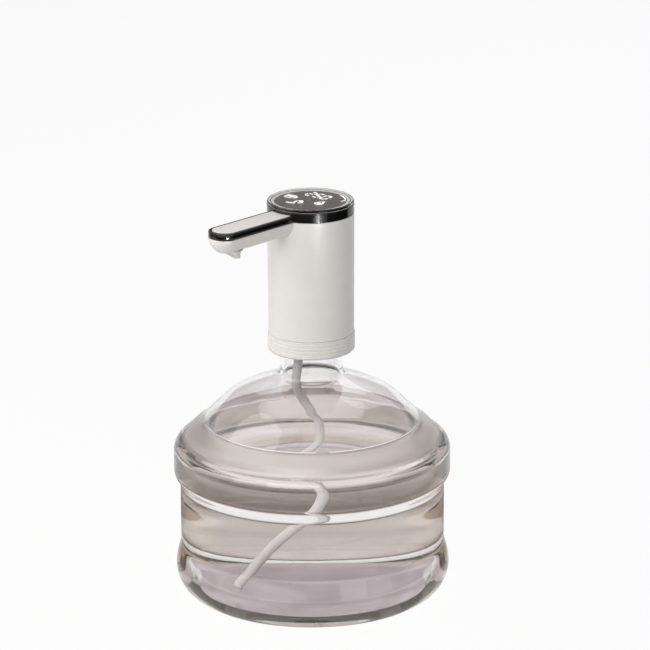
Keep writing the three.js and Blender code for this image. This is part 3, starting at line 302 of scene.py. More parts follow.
def tube(path, outer, bore, sides):
    """A hose with a bore along a path, both ends cut square."""
    axis = (path[1] - path[0]).normalized()
    side = axis.orthogonal().normalized()
    rings = {outer: [], bore: []}
    for i, point in enumerate(path):
        ahead = path[min(i + 1, len(path) - 1)] - path[max(i - 1, 0)]
        side = (side - ahead.normalized() * side.dot(ahead.normalized())).normalized()
        up = ahead.normalized().cross(side)
        for radius, made in rings.items():
            made.append([
                tuple(point + (side * math.cos(turn) + up * math.sin(turn)) * radius)
                for turn in (2 * math.pi * k / sides for k in range(sides))
            ])
    return stack(rings[outer] + rings[bore][::-1], wrap=True)


def carve(piece, *cutters):
    """Cuts closed meshes, given as (vertices, faces), out of a piece, and shades it smooth again."""
    for points, faces in cutters:
        vertices = [Vector(point) * MM for point in points]
        tool = placed("cutter", closed_mesh("cutter", vertices, faces))
        step = piece.modifiers.new("cut", "BOOLEAN")
        step.operation = "DIFFERENCE"
        step.solver = "EXACT"
        step.object = tool
        bpy.context.view_layer.update()
        seen = piece.evaluated_get(bpy.context.evaluated_depsgraph_get())
        made = bpy.data.meshes.new_from_object(seen)
        piece.modifiers.remove(step)
        piece.data = made
        bpy.data.objects.remove(tool)
    smooth(piece.data, SHARP_DEG)
    return piece


# Materials: moulded ones are mottled, uneven in gloss and finely grained, and clear ones can be wavy

COARSE = 90
FINE = 900
BUMP_REACH = 0.0002
NOISE_RANGE = (0.3, 0.7)
GLOSS_SPREAD = 0.15
SATIN_FADE = 0.06
RIPPLE_SCALE = 6
RIPPLE_SHARE = 0.15
LOOKS = {}


def material_nodes(name):
    made = bpy.data.materials.new(name)
    made.use_nodes = True
    tree = made.node_tree
    return made, tree, tree.nodes["Principled BSDF"]


def noise(tree, scale, detail=4.0, stretch=None):
    where = tree.nodes.new("ShaderNodeTexCoord")
    made = tree.nodes.new("ShaderNodeTexNoise")
    made.inputs["Scale"].default_value = scale
    made.inputs["Detail"].default_value = detail
    place = where.outputs["Object"]
    if stretch:
        stretched = tree.nodes.new("ShaderNodeMapping")
        stretched.inputs["Scale"].default_value = stretch
        tree.links.new(place, stretched.inputs["Vector"])
        place = stretched.outputs["Vector"]
    tree.links.new(place, made.inputs["Vector"])
    return made.outputs["Fac"]


def spread(tree, source, low, high):
    """Maps a noise, whose values keep to the middle of 0 to 1, onto low to high."""
    made = tree.nodes.new("ShaderNodeMapRange")
    made.inputs["From Min"].default_value = NOISE_RANGE[0]
    made.inputs["From Max"].default_value = NOISE_RANGE[1]
    made.inputs["To Min"].default_value = low
    made.inputs["To Max"].default_value = high
    tree.links.new(source, made.inputs["Value"])
    return made.outputs["Result"]


def mottle(tree, source, color, other):
    mix = tree.nodes.new("ShaderNodeMix")
    mix.data_type = "RGBA"
    mix.inputs["A"].default_value = (*color, 1)
    mix.inputs["B"].default_value = (*other, 1)
    tree.links.new(spread(tree, source, 0.0, 1.0), mix.inputs["Factor"])
    return mix.outputs["Result"]


def relief(tree, source, strength, before=None):
    made = tree.nodes.new("ShaderNodeBump")
    made.inputs["Strength"].default_value = strength
    made.inputs["Distance"].default_value = BUMP_REACH
    tree.links.new(source, made.inputs["Height"])
    if before:
        tree.links.new(before, made.inputs["Normal"])
    return made.outputs["Normal"]


def linear(color):
    """A colour written as 0 to 255 in sRGB."""
    return tuple(
        (share / 12.92 if share <= 0.04045 else ((share + 0.055) / 1.055) ** 2.4)
        for share in (value / 255 for value in color)
    )


def moulded(name, color, roughness, fleck=0.06, grain=0.25, scale=COARSE, stretch=None, **sockets):
    """A look whose colour darkens by up to fleck, with a relief as strong as grain."""
    made, tree, shader = material_nodes(name)
    base = linear(color)
    other = tuple(value * (1 - fleck) for value in base)
    tree.links.new(mottle(tree, noise(tree, scale, 6.0, stretch), base, other), shader.inputs["Base Color"])
    least = roughness * (1 - GLOSS_SPREAD)
    most = roughness * (1 + GLOSS_SPREAD)
    gloss = spread(tree, noise(tree, scale * 3, 5.0, stretch), least, most)
    tree.links.new(gloss, shader.inputs["Roughness"])
    normal = relief(tree, noise(tree, FINE, 3.0, stretch), grain)
    tree.links.new(normal, shader.inputs["Normal"])
    for socket, value in sockets.items():
        shader.inputs[socket.replace("_", " ")].default_value = value
    LOOKS[name] = made


def clear(name, color, index, waviness, wave_scale, roughness=0.01, satin=None):
    """Glass or water, with a tinted see-through shadow. It can be satin between two heights."""
    made, tree, shader = material_nodes(name)
    shader.inputs["Base Color"].default_value = (*linear(color), 1)
    shader.inputs["IOR"].default_value = index
    shader.inputs["Transmission Weight"].default_value = 1.0
    shader.inputs["Roughness"].default_value = roughness
    if satin:
        low, high, most = satin
        where = tree.nodes.new("ShaderNodeTexCoord")
        axes = tree.nodes.new("ShaderNodeSeparateXYZ")
        tree.links.new(where.outputs["Object"], axes.inputs["Vector"])
        curve = tree.nodes.new("ShaderNodeValToRGB")
        reach = tree.nodes.new("ShaderNodeMapRange")
        reach.inputs["From Min"].default_value = low * MM
        reach.inputs["From Max"].default_value = high * MM
        tree.links.new(axes.outputs["Z"], reach.inputs["Value"])
        tree.links.new(reach.outputs["Result"], curve.inputs["Fac"])
        steps = curve.color_ramp.elements
        for place in (SATIN_FADE, 1 - SATIN_FADE):
            steps.new(place).color = (most, most, most, 1)
        for end in (steps[0], steps[-1]):
            end.color = (roughness, roughness, roughness, 1)
        tree.links.new(curve.outputs["Color"], shader.inputs["Roughness"])
    waves = relief(tree, noise(tree, wave_scale, 2.0), waviness)
    fine = relief(tree, noise(tree, wave_scale * RIPPLE_SCALE, 2.0), waviness * RIPPLE_SHARE, waves)
    tree.links.new(fine, shader.inputs["Normal"])
    path = tree.nodes.new("ShaderNodeLightPath")
    shade = tree.nodes.new("ShaderNodeBsdfTransparent")
    shade.inputs["Color"].default_value = (*linear(color), 1)
    mix = tree.nodes.new("ShaderNodeMixShader")
    tree.links.new(path.outputs["Is Shadow Ray"], mix.inputs["Fac"])
    tree.links.new(shader.outputs["BSDF"], mix.inputs[1])
    tree.links.new(shade.outputs["BSDF"], mix.inputs[2])
    tree.links.new(mix.outputs["Shader"], tree.nodes["Material Output"].inputs["Surface"])
    LOOKS[name] = made


clear("jug_clear", (251, 250, 251), index=1.52, waviness=0.35, wave_scale=22, satin=(140.0, 156.5, 0.32))
clear("water", (254, 253, 251), index=1.33, waviness=0.05, wave_scale=14)
clear("lens_clear", (246, 247, 247), index=1.49, waviness=0.0, wave_scale=20)
moulded("silicone", (233, 230, 230), 0.42, 0.06, 0.2, Transmission_Weight=0.35, IOR=1.41)
moulded("shell_white", (231, 228, 224), 0.4, 0.03, 0.2, Specular_IOR_Level=0.35)
moulded("plate_grey", (221, 218, 216), 0.42, 0.03, 0.2)
moulded("gloss_black", (12, 11, 11), 0.14, 0.3, 0.03, Specular_IOR_Level=0.5)
moulded("panel_dark", (76, 71, 68), 0.3, 0.08, 0.05, Specular_IOR_Level=0.1)
moulded("mark_white", (238, 236, 232), 0.4, 0.03, 0.1, Emission_Strength=1.5)
moulded("ring_grey", (224, 222, 221), 0.35, 0.02, 0.05)
moulded("inner_white", (232, 230, 224), 0.5, 0.05, 0.35)
moulded("board", (32, 92, 60), 0.42, 0.35, 0.4, scale=420)
moulded("chip", (30, 30, 33), 0.5, 0.3, 0.5, scale=600)
moulded("steel", (190, 192, 196), 0.28, 0.12, 0.3, scale=700, stretch=(1, 1, 0.08), Metallic=1.0)
moulded("copper", (196, 122, 74), 0.34, 0.35, 0.8, scale=500, stretch=(0.1, 0.1, 3.0), Metallic=1.0)
moulded("magnet", (62, 62, 65), 0.55, 0.3, 0.6, scale=500)
moulded("cell_blue", (47, 111, 168), 0.32, 0.1, 0.25, scale=160)
moulded("lead_red", (172, 34, 28), 0.38, 0.12, 0.3)


# Sizes in millimetres: the clearance between parts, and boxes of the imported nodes

CLEARANCE = 0.3


class Size:
    """Where a node's box lies, in millimetres."""

    def __init__(self, node):
        low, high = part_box(node)
        self.low = low / MM
        self.high = high / MM
        self.radius = self.high.x
        self.middle = (self.low + self.high) / 2


jug = Size("jug_shell")
collar = Size("neck_collar")
base = Size("base_ring")
housing = Size("main_housing")
deck = Size("deck_plate")
barb = Size("inlet_barb")
cover = Size("port_cover")
pin = Size("port_hinge_pin")
bezel = Size("top_bezel")
lens = Size("cap_lens")
panel = Size("touch_panel")
plate = Size("spout_top_plate")
spout = Size("spout_shell")
nozzle = Size("spout_nozzle")


# Jug and water

NECK_RADIUS = 27.5
NECK_BORE = 24
JUG_WALL = 3.2
JUG_FOOT = (91, 99)
JUG_PUSH_UP = (83, 6.4, 8)
ROLL = (121, 26)
WAIST = (116.5, 50, 99.5)
RING = (122, 113, 130)
RING_TOP = (113, 140.5)
DOME = [
    (113.0, 140.5), (107.9, 148), (100.4, 154), (92.9, 161), (85.8, 168), (78.7, 175), (69.6, 182),
    (56.6, 188), (43.8, 193), (34.1, 197), (28.8, 200.2), (27.5, 205),
]
WATER_LEVEL = 157
WATER_BITE = 0.2
MENISCUS = 1.6
LIP_EDGE = 0.8
JUG_SIDES = 256
JUG_SHARP_DEG = 70


def jug_outside():
    """The jug's side from its foot up to its neck."""
    foot = JUG_FOOT[1]
    return [
        *arc((foot, ROLL[1]), (ROLL[0] - foot, ROLL[1]), -90, 0, 24),
        *ease(ROLL, (WAIST[0], WAIST[1]), 16)[1:],
        *ease((WAIST[0], WAIST[2]), (RING[0], RING[1]), 12),
        *arc((RING_TOP[0], RING[2]), (RING[0] - RING_TOP[0], RING_TOP[1] - RING[2]), 0, 80, 12),
        *[tuple(point) for point in catmull(DOME, 5)][1:],
    ]


def offset(profile, distance):
    """Moves a profile that runs up the outside inwards by a distance."""
    made = []
    for i, point in enumerate(profile):
        ahead = Vector(profile[min(i + 1, len(profile) - 1)]) - Vector(profile[max(i - 1, 0)])
        inward = Vector((-ahead.y, ahead.x)).normalized()
        made.append(tuple(Vector(point) + inward * distance))
    return made


def jug_bottom(lift):
    """The jug's bottom from the middle out to the foot, lifted by a wall where it is the inside."""
    push_radius, push_low, push_high = JUG_PUSH_UP
    return [
        (0, push_high + lift),
        (push_radius * 0.6, push_high + lift - 0.2),
        (push_radius, push_low + lift),
        (push_radius + 4, push_low / 2 + lift),
        (JUG_FOOT[0], lift + 0.3),
        (JUG_FOOT[0] + 2, lift),
    ]


def make_jug():
    outside = jug_outside()
    inside = offset(outside, JUG_WALL)
    top = jug.high.z
    lip = [
        (NECK_RADIUS, top - LIP_EDGE), (NECK_RADIUS - LIP_EDGE, top),
        (NECK_BORE + LIP_EDGE, top), (NECK_BORE, top - LIP_EDGE),
    ]
    inside_up = [point for point in inside if point[0] > NECK_BORE]
    outline = [
        *jug_bottom(0),
        *outside,
        *lip,
        *reversed(inside_up),
        *reversed(jug_bottom(JUG_WALL)),
    ]
    shell = lathe(outline, JUG_SIDES)
    piece_from("jug", [shell], "jug_clear", "jug", ["jug_shell"], sharp_deg=JUG_SHARP_DEG)


def make_water():
    wall = offset(jug_outside(), JUG_WALL - WATER_BITE)
    side = [point for point in wall if point[1] < WATER_LEVEL]
    rim = side[-1][0]
    surface = [
        (rim - MENISCUS * share, WATER_LEVEL + MENISCUS * 0.5 * (1 - share) ** 3)
        for share in (0.1, 0.3, 0.5, 0.7, 0.9, 1.2)
    ]
    outline = [*jug_bottom(JUG_WALL - WATER_BITE), *side, *surface, (0, WATER_LEVEL)]
    body = lathe(outline, JUG_SIDES)
    piece_from("water", [body], "water", "jug", sharp_deg=JUG_SHARP_DEG)


# Hose

HOSE_ROUTE = [
    (-0.0074, -0.0082, 0.236), (-0.0074, -0.0082, 0.226), (-0.0077, -0.0083, 0.215),
    (-0.0091, -0.0083, 0.2045), (-0.0115, -0.0077, 0.1945), (-0.014, -0.0054, 0.185),
    (-0.0153, -0.0008, 0.1765), (-0.0147, 0.0049, 0.1685), (-0.0126, 0.0102, 0.16),
    (-0.0105, 0.014, 0.151), (-0.0091, 0.0162, 0.1415), (-0.0078, 0.017, 0.1315),
    (-0.0062, 0.0164, 0.1215), (-0.0039, 0.0145, 0.1115), (-0.0004, 0.0112, 0.1015),
    (0.003, 0.0057, 0.0915), (0.0034, -0.0022, 0.0815), (0.0012, -0.013, 0.0725),
    (-0.0016, -0.0257, 0.063), (-0.0039, -0.0382, 0.053), (-0.0062, -0.0499, 0.042),
    (-0.0088, -0.0609, 0.0295), (-0.0118, -0.0708, 0.0155),
]
HOSE_RADIUS = 4
HOSE_BORE = 2.6
HOSE_SIDES = 32


def make_hose():
    line = catmull(HOSE_ROUTE, 6)
    hose = piece_from(
        "hose",
        [tube([point / MM for point in line], HOSE_RADIUS, HOSE_BORE, HOSE_SIDES)],
        "silicone",
        "pump",
        ["suction_hose"],
    )


# Collar and base ring

GROOVE_COUNT = 4
GROOVE_PITCH = 3.2
GROOVE_WIDTH = 1.0
GROOVE_DEPTH = 0.35
BASE_HEIGHT = 16.15
BASE_ROUNDING = 3.4
SPIGOT_RADIUS = 34.9
BASE_BORE = 32.8
BASE_LIP = (29.2, 2.5)


def make_collar():
    low, high = collar.low.z, collar.high.z
    inner, outer = NECK_RADIUS + CLEARANCE, collar.radius
    pitch = (high - low) / 3
    outline = [(inner, low, 0.6), (outer, low, 0.6)]
    for i in (1, 2):
        middle = low + pitch * i
        outline += [
            (outer, middle - 1.1, 0.3), (outer - 0.5, middle - 0.6, 0.3),
            (outer - 0.5, middle + 0.6, 0.3), (outer, middle + 1.1, 0.3),
        ]
    outline += [(outer, high, 0.6), (inner, high, 0.8)]
    piece_from("collar", [lathe(rounded(outline))], "silicone", "collar", ["neck_collar"])


def make_base():
    low = base.low.z
    top = low + BASE_HEIGHT
    radius = base.radius
    lip_radius, lip_top = BASE_LIP[0], low + BASE_LIP[1]
    outline = [(lip_radius, low, 0.6), (radius, low, BASE_ROUNDING)]
    for i in range(GROOVE_COUNT):
        middle = top - GROOVE_PITCH * (GROOVE_COUNT - i - 0.5)
        outline += [
            (radius, middle - GROOVE_WIDTH / 2, 0.22),
            (radius - GROOVE_DEPTH, middle - GROOVE_WIDTH / 4, 0.18),
            (radius - GROOVE_DEPTH, middle + GROOVE_WIDTH / 4, 0.18),
            (radius, middle + GROOVE_WIDTH / 2, 0.22),
        ]
    outline += [
        (radius, top, 0.35), (SPIGOT_RADIUS, top, 0.2), (SPIGOT_RADIUS, base.high.z, 0.4),
        (BASE_BORE, base.high.z, 0.4), (BASE_BORE, lip_top, 0.3), (lip_radius, lip_top, 0.4),
    ]
    piece_from("base_ring_looks", [lathe(rounded(outline, 3))], "shell_white", "pump", ["base_ring"])


# Housing, with its port hole, ears, bosses and flap, and the hose's barb

HOUSING_BORE = 35.2
HOUSING_LOW_RADIUS = 37.4
PORT_HOLE = (10.6, 4.8)
PORT_CORNER = 1.6
PORT_RISE = 5
TUBE_HOLE_RADIUS = 3.6
TUBE_HOLE_RISE = 8.1
OVERRUN = 3
BARREL_RADIUS = 1.7
EAR_WIDTH = 2
EAR_BITE = 1.2
EAR_EDGE = 0.3
ROD_SIDES = 32
SCREW_BORE = 1.5
BOSS_RADIUS = 2.6
BOSS_PLACE = 29.9
BOSS_HEIGHT = 9
WEB_START = 2.0
WEB_HALF = 0.7
WEB_BITE = 0.8
FLAP_WALL = 1.4
FLAP_GAP = 0.4
DECK_TURN_DEG = 10
BEZEL_TURN_DEG = 60


def rod_x(radius, from_x, to_x, y, z, sides=ROD_SIDES, edge=0.15):
    """A rod along X with eased ends."""
    rings = []
    for x, drawn in ((from_x, edge), (from_x + edge, 0), (to_x - edge, 0), (to_x, edge)):
        rings.append([
            (x, y + (radius - drawn) * math.cos(turn), z + (radius - drawn) * math.sin(turn))
            for turn in (2 * math.pi * k / sides for k in range(sides))
        ])
    return stack(rings)


def rod_y(radius, from_y, to_y, x, z):
    """A plain rod along Y."""
    turns = [2 * math.pi * k / ROD_SIDES for k in range(ROD_SIDES)]
    section = [(x + radius * math.cos(turn), z + radius * math.sin(turn)) for turn in turns]
    return stack([[(across, y, up) for across, up in section] for y in (from_y, to_y)])


def rounded_box(low, high, radius):
    """A rectangle's outline with rounded corners."""
    return rounded([
        (low[0], low[1], radius), (high[0], low[1], radius),
        (high[0], high[1], radius), (low[0], high[1], radius),
    ])


def block(low, high, round_radius):
    """A block with rounded upright corners and eased top and bottom edges."""
    outline = rounded_box(low, high, round_radius)
    ease_in = round_radius / 2
    return pad(outline, [
        (ease_in, low[2]), (ease_in * 0.3, low[2] + ease_in * 0.3), (0, low[2] + ease_in),
        (0, high[2] - ease_in), (ease_in * 0.3, high[2] - ease_in * 0.3), (ease_in, high[2]),
    ])


def port_slot(width, height, radius, from_y, to_y, z):
    """A rounded slot's solid along Y."""
    outline = rounded_box((-width / 2, z - height / 2), (width / 2, z + height / 2), radius)
    return stack([[(x, y, up) for x, up in outline] for y in (from_y, to_y)])


def make_housing():
    low, high = housing.low.z, housing.high.z
    radius = housing.radius
    shell = lathe(rounded([
        (HOUSING_BORE, low, 0.3), (HOUSING_LOW_RADIUS, low, 0.5),
        (radius, high, 0.45), (HOUSING_BORE, high, 0.3),
    ]))
    piece = piece_from("housing_shell", [shell], "shell_white", "pump", ["main_housing"])
    port_z = cover.low.z + PORT_RISE
    slot = port_slot(*PORT_HOLE, PORT_CORNER, HOUSING_BORE - OVERRUN, radius + OVERRUN, port_z)
    tube_z = spout.low.z + TUBE_HOLE_RISE
    tube_hole = rod_y(TUBE_HOLE_RADIUS, -radius - OVERRUN, -HOUSING_BORE + OVERRUN, 0, tube_z)
    carve(piece, slot, tube_hole)
    hinge_y, hinge_z = pin.middle.y, pin.middle.z
    parts = []
    for side in (-1, 1):
        inner_x, outer_x = side * (pin.high.x - EAR_WIDTH), side * pin.high.x
        from_x, to_x = sorted((inner_x, outer_x))
        parts.append(rod_x(BARREL_RADIUS, from_x, to_x, hinge_y, hinge_z))
        arm_low = (from_x, radius - EAR_BITE, hinge_z - BARREL_RADIUS)
        arm_high = (to_x, hinge_y, hinge_z + BARREL_RADIUS)
        parts.append(block(arm_low, arm_high, EAR_EDGE))
    for turn_deg, foot in ((DECK_TURN_DEG, deck.high.z + CLEARANCE), (BEZEL_TURN_DEG, high - BOSS_HEIGHT)):
        head = foot + BOSS_HEIGHT
        for k in range(3):
            turn = math.radians(turn_deg + 120 * k)
            middle = (BOSS_PLACE * math.cos(turn), BOSS_PLACE * math.sin(turn))
            boss = rounded([
                (SCREW_BORE, foot, 0.2), (BOSS_RADIUS, foot, 0.3),
                (BOSS_RADIUS, head, 0.3), (SCREW_BORE, head, 0.2),
            ], 2)
            parts.append(lathe(boss, ROD_SIDES, middle))
            parts.append(web(middle, turn, foot, head))
    piece_from("housing_ears_and_bosses", parts, "shell_white", "pump", ["main_housing"])


def web(middle, turn, low, high):
    """A thin wall from a boss out to the housing."""
    along = (math.cos(turn), math.sin(turn))
    side = (-along[1], along[0])
    reach = HOUSING_BORE + WEB_BITE - BOSS_PLACE
    outline = []
    for out, across in ((WEB_START, -WEB_HALF), (reach, -WEB_HALF), (reach, WEB_HALF), (WEB_START, WEB_HALF)):
        outline.append((
            middle[0] + along[0] * out + side[0] * across,
            middle[1] + along[1] * out + side[1] * across,
        ))
    return stack([[(x, y, z) for x, y in outline] for z in (low, high)])


def make_flap():
    """A curved plate with a moulded finger lip, under the barrel that turns on the pin."""
    inner = housing.radius + CLEARANCE
    outer = inner + FLAP_WALL
    half = cover.high.x
    low, top = cover.low.z, pin.middle.z - BARREL_RADIUS - FLAP_GAP
    outline = rounded([
        (-half, low, 2.2), (half, low, 2.2), (half, top, 1.2), (-half, top, 1.2),
    ], 6)
    layers = [
        (0.0, inner), (0.0, outer - 0.45), (0.13, outer - 0.17), (0.45, outer),
        (1.6, outer), (1.9, outer - 0.22), (2.2, outer - 0.22), (2.5, outer),
    ]
    rings = []
    for inset, radius in layers:
        ring = []
        for x, z in drawn_in(outline, inset):
            turn = x / radius
            ring.append((radius * math.sin(turn), radius * math.cos(turn), z))
        rings.append(ring)
    barrel_half = pin.high.x - EAR_WIDTH - FLAP_GAP
    link_low = (-barrel_half, inner, top - FLAP_WALL)
    link_high = (barrel_half, outer, pin.middle.z)
    parts = [
        stack(rings),
        rod_x(BARREL_RADIUS, -barrel_half, barrel_half, pin.middle.y, pin.middle.z),
        block(link_low, link_high, EAR_EDGE),
    ]
    piece_from("port_flap_looks", parts, "shell_white", "port_flap", ["port_cover"])


def make_pin():
    parts = [rod_x(pin.high.z - pin.middle.z, pin.low.x, pin.high.x, pin.middle.y, pin.middle.z, 24)]
    piece_from("hinge_pin", parts, "steel", "pump", ["port_hinge_pin"])


BARB_NUT_HEIGHT = 10.5
BARB_STEM = 3.2
BARB_BORE = 1.8
BARB_OVERLAP = 2


def make_barb():
    """Hexagon nut and stem that the hose pushes onto."""
    low, high = barb.low.z, barb.high.z
    middle = (barb.middle.x, barb.middle.y)
    radius = barb.high.x - barb.middle.x
    nut_top = low + BARB_NUT_HEIGHT
    foot = nut_top - BARB_OVERLAP
    flats = [
        (middle[0] + radius * math.cos(math.pi * k / 3), middle[1] + radius * math.sin(math.pi * k / 3), 0.5)
        for k in range(6)
    ]
    nut = pad(rounded(flats, 3), [
        (1.0, low), (0.2, low + 0.6), (0, low + 1.2), (0, nut_top - 0.5), (0.4, nut_top),
    ])
    side = rounded([(BARB_BORE, foot), (BARB_STEM, foot), (BARB_STEM, high, 0.3), (BARB_BORE, high)])
    stem = lathe(side, ROD_SIDES, middle)
    piece_from("barb_nut", [nut, stem], "inner_white", "pump", ["inlet_barb"])


# Spout

SPOUT_WIDTH = 27
SPOUT_CORNER = 11.5
SPOUT_ROOT = 27.2
SPOUT_ROUNDING = 11
SPOUT_WALL = 1.8
TRIM_WALL = 2.2
TRIM_HEIGHT = 6
TRIM_BITE = 0.3
PLATE_GAP = 0.15
BAND_GAP = 0.25
BODY_GAP = 0.2
KEEL_HALF = 2
HULL_TURN_DEG = 76
HULL_RINGS = 14


def spout_outline(inset, steps=16):
    """The spout from above, drawn in by an inset, and open towards the housing."""
    half = SPOUT_WIDTH / 2 - inset
    tip = -bezel.low.y - inset
    corner = min(SPOUT_CORNER, half)
    return [
        (-half, -SPOUT_ROOT),
        *arc((corner - half, corner - tip), (corner, corner), 180, 270, steps),
        *arc((half - corner, corner - tip), (corner, corner), 270, 360, steps),
        (half, -SPOUT_ROOT),
    ]


def level(outline, z):
    return [(x, y, z) for x, y in outline]


def hull_rings(wall):
    """Rings of the spout's under-shell, from its top edge down to its keel."""
    top = spout.high.z
    depth = top - spout.low.z
    full = math.radians(HULL_TURN_DEG)
    rings = []
    for i in range(HULL_RINGS + 1):
        turn = full * i / HULL_RINGS
        inset = wall + SPOUT_ROUNDING * (1 - math.cos(turn))
        rings.append(level(spout_outline(inset), top - (depth - wall) * math.sin(turn) / math.sin(full)))
    return rings


def clear_of_body(radius, low, high):
    """A cutter that keeps what is on the spout out of the round body."""
    return lathe([(0, low), (radius, low), (radius, high), (0, high)])


def make_spout():
    outer = hull_rings(0)
    inner = hull_rings(SPOUT_WALL)
    keel = outer[-1][0][2]
    middle = level(spout_outline(SPOUT_WIDTH / 2 - KEEL_HALF), keel)
    inner_middle = level(spout_outline(SPOUT_WIDTH / 2 - KEEL_HALF), inner[-1][0][2])
    shell = stack([*outer, middle, inner_middle, *inner[::-1]], wrap=True)
    low, high = spout.low.z - OVERRUN, bezel.high.z + OVERRUN
    hole_radius = nozzle.radius + CLEARANCE
    hole_top = nozzle.high.z + CLEARANCE
    hull = piece_from("spout_hull", [shell], "shell_white", "pump", ["spout_shell"])
    outline = [(0, low), (hole_radius, low), (hole_radius, hole_top), (0, hole_top)]
    hole = lathe(outline, NOZZLE_SIDES, (0, nozzle.middle.y))
    carve(hull, clear_of_body(housing.radius + BODY_GAP, low, high), hole)


NOZZLE_BORE = 3.4
NOZZLE_SLANT = 7.5
NOZZLE_FLARE = 3.4
NOZZLE_SIDES = 96


def make_nozzle():
    """A short slanted beak: its lip is lowest next to the jug, and its root flares into the spout there."""
    radius = nozzle.radius
    low, top = nozzle.low.z, nozzle.high.z
    keel = spout.low.z
    turns = [2 * math.pi * k / NOZZLE_SIDES for k in range(NOZZLE_SIDES)]

    def ring(at, share, lift=0.0, flare=0.0):
        """A ring between the spout's keel (share 0) and the lip (share 1)."""
        points = []
        for turn in turns:
            near = (1 + math.sin(turn)) / 2
            lip = low + NOZZLE_SLANT * (1 - near)
            reach = at + flare * near ** 2
            z = keel + (lip - keel) * share + lift
            points.append((reach * math.cos(turn), nozzle.middle.y + reach * math.sin(turn), z))
        return points

    def flat(at, z):
        return [(at * math.cos(turn), nozzle.middle.y + at * math.sin(turn), z) for turn in turns]

    rings = [flat(radius, top), flat(radius, keel + 0.2)]
    for share in (0.01, 0.08, 0.18, 0.32, 0.5, 0.72):
        rings.append(ring(radius, share, flare=NOZZLE_FLARE * (1 - share) ** 4))
    rings += [
        ring(radius, 1, 0.6), ring(radius - 0.15, 1, 0.2), ring(radius - 0.5, 1), ring(NOZZLE_BORE + 0.5, 1),
        ring(NOZZLE_BORE + 0.1, 1, 0.3), ring(NOZZLE_BORE, 1, 0.8), flat(NOZZLE_BORE, top),
    ]
    piece_from("nozzle_beak", [stack(rings, wrap=True)], "shell_white", "pump", ["spout_nozzle"])


def make_plate():
    low, high = plate.low.z, plate.high.z
    outline = spout_outline(TRIM_WALL + PLATE_GAP)
    made = pad(outline, [(0, low), (0, high - 0.35), (0.1, high - 0.1), (0.35, high)])
    piece = piece_from("spout_plate", [made], "plate_grey", "pump", ["spout_top_plate"])
    carve(piece, clear_of_body(bezel.radius + BAND_GAP, low - OVERRUN, high + OVERRUN))


# Black bezel: the band round the top and the trim round the spout's plate

BAND_WALL = 3.8
BAND_LEDGE = (7, 2.2)


def make_bezel():
    low, high = bezel.low.z, bezel.high.z
    radius = bezel.radius
    bore = radius - BAND_WALL
    ledge = bore - BAND_LEDGE[0]
    band = lathe(rounded([
        (ledge, low, 0.2), (radius, low, 0.35), (radius, high, 0.5), (bore, high, 0.25),
        (bore, low + BAND_LEDGE[1], 0.2), (ledge, low + BAND_LEDGE[1], 0.2),
    ]))
    piece_from("bezel_band", [band], "gloss_black", "pump", ["top_bezel"])

    top = low + TRIM_HEIGHT
    layers = [
        (TRIM_WALL, low + 0.1), (0.45, low), (0.12, low + 0.15), (0, low + 0.5), (0, top - 0.9),
        (0.1, top - 0.5), (0.3, top - 0.2), (0.7, top), (TRIM_WALL - 0.2, top), (TRIM_WALL, top - 0.2),
    ]
    rings = [level(spout_outline(inset), z) for inset, z in layers]
    trim = piece_from("spout_trim", [stack(rings, wrap=True)], "gloss_black", "pump", ["top_bezel"])
    carve(trim, clear_of_body(radius - TRIM_BITE, low - OVERRUN, high + OVERRUN))


# Clear cap, the light ring under it, and the dark panel with its marks and a painted highlight on its rim

CAP_EDGE = 0.9
PANEL_RECESS = 0.7
RING_RADII = (31.6, 36.9)
MARK_LOW = 0.02
MARK_HIGH = 0.1
STROKE = 1.5


def make_cap():
    """The clear cap, the panel's face under it, and the light ring round the face."""
    radius = lens.radius
    low, high = lens.low.z, lens.high.z
    outline = rounded([
        (0, low), (radius, low, 0.3), (radius, high - CAP_EDGE, 0.35),
        (radius - CAP_EDGE, high, 0.5), (0, high),
    ])
    piece_from("cap_glass", [lathe(outline)], "lens_clear", "pump", ["cap_lens"])
    top = panel.high.z - PANEL_RECESS
    face = rounded([(0, panel.low.z), (panel.radius, panel.low.z, 0.1), (panel.radius, top, 0.1), (0, top)])
    piece_from("panel_face", [lathe(face)], "panel_dark", "pump", ["touch_panel"])
    inner, outer = RING_RADII
    rise = bezel.high.z + 0.1
    ring = [(inner, top + 0.05), (outer, rise), (outer, rise + 0.12), (inner, top + 0.3)]
    piece_from("panel_ring", [lathe(rounded(ring))], "ring_grey", "pump")


def stroke(points, closed=False, width=STROKE):
    """A line with a width, drawn on the panel's face."""
    path = [Vector(point) for point in points]
    left, right = [], []
    for i, here in enumerate(path):
        before = path[i - 1] if i or closed else here
        after = path[(i + 1) % len(path)] if i + 1 < len(path) or closed else here
        along = (after - before).normalized()
        side = Vector((-along.y, along.x)) * (width / 2)
        left.append(tuple(here + side))
        right.append(tuple(here - side))
    face = panel.high.z - PANEL_RECESS
    low, high = face + MARK_LOW, face + MARK_HIGH
    rings = [left, right]
    count = len(path)
    vertices = [(x, y, z) for z in (low, high) for side in rings for x, y in side]
    faces = []
    spans = count if closed else count - 1
    for i in range(spans):
        n = (i + 1) % count
        faces += [
            (i, n, count + n, count + i),
            (2 * count + i, 3 * count + i, 3 * count + n, 2 * count + n),
            (i, 2 * count + i, 2 * count + n, n),
            (count + i, count + n, 3 * count + n, 3 * count + i),
        ]
    if not closed:
        for i in (0, count - 1):
            faces.append((i, count + i, 3 * count + i, 2 * count + i))
    return vertices, faces


# A glowing white arc along the panel's rim: a painted highlight, drawn like the marks.
RIM_HIGHLIGHT_ARC = [(7.5, 29.8), (13.6, 27.6), (18.6, 24.2), (21.4, 20.2), (20.8, 16.3)]

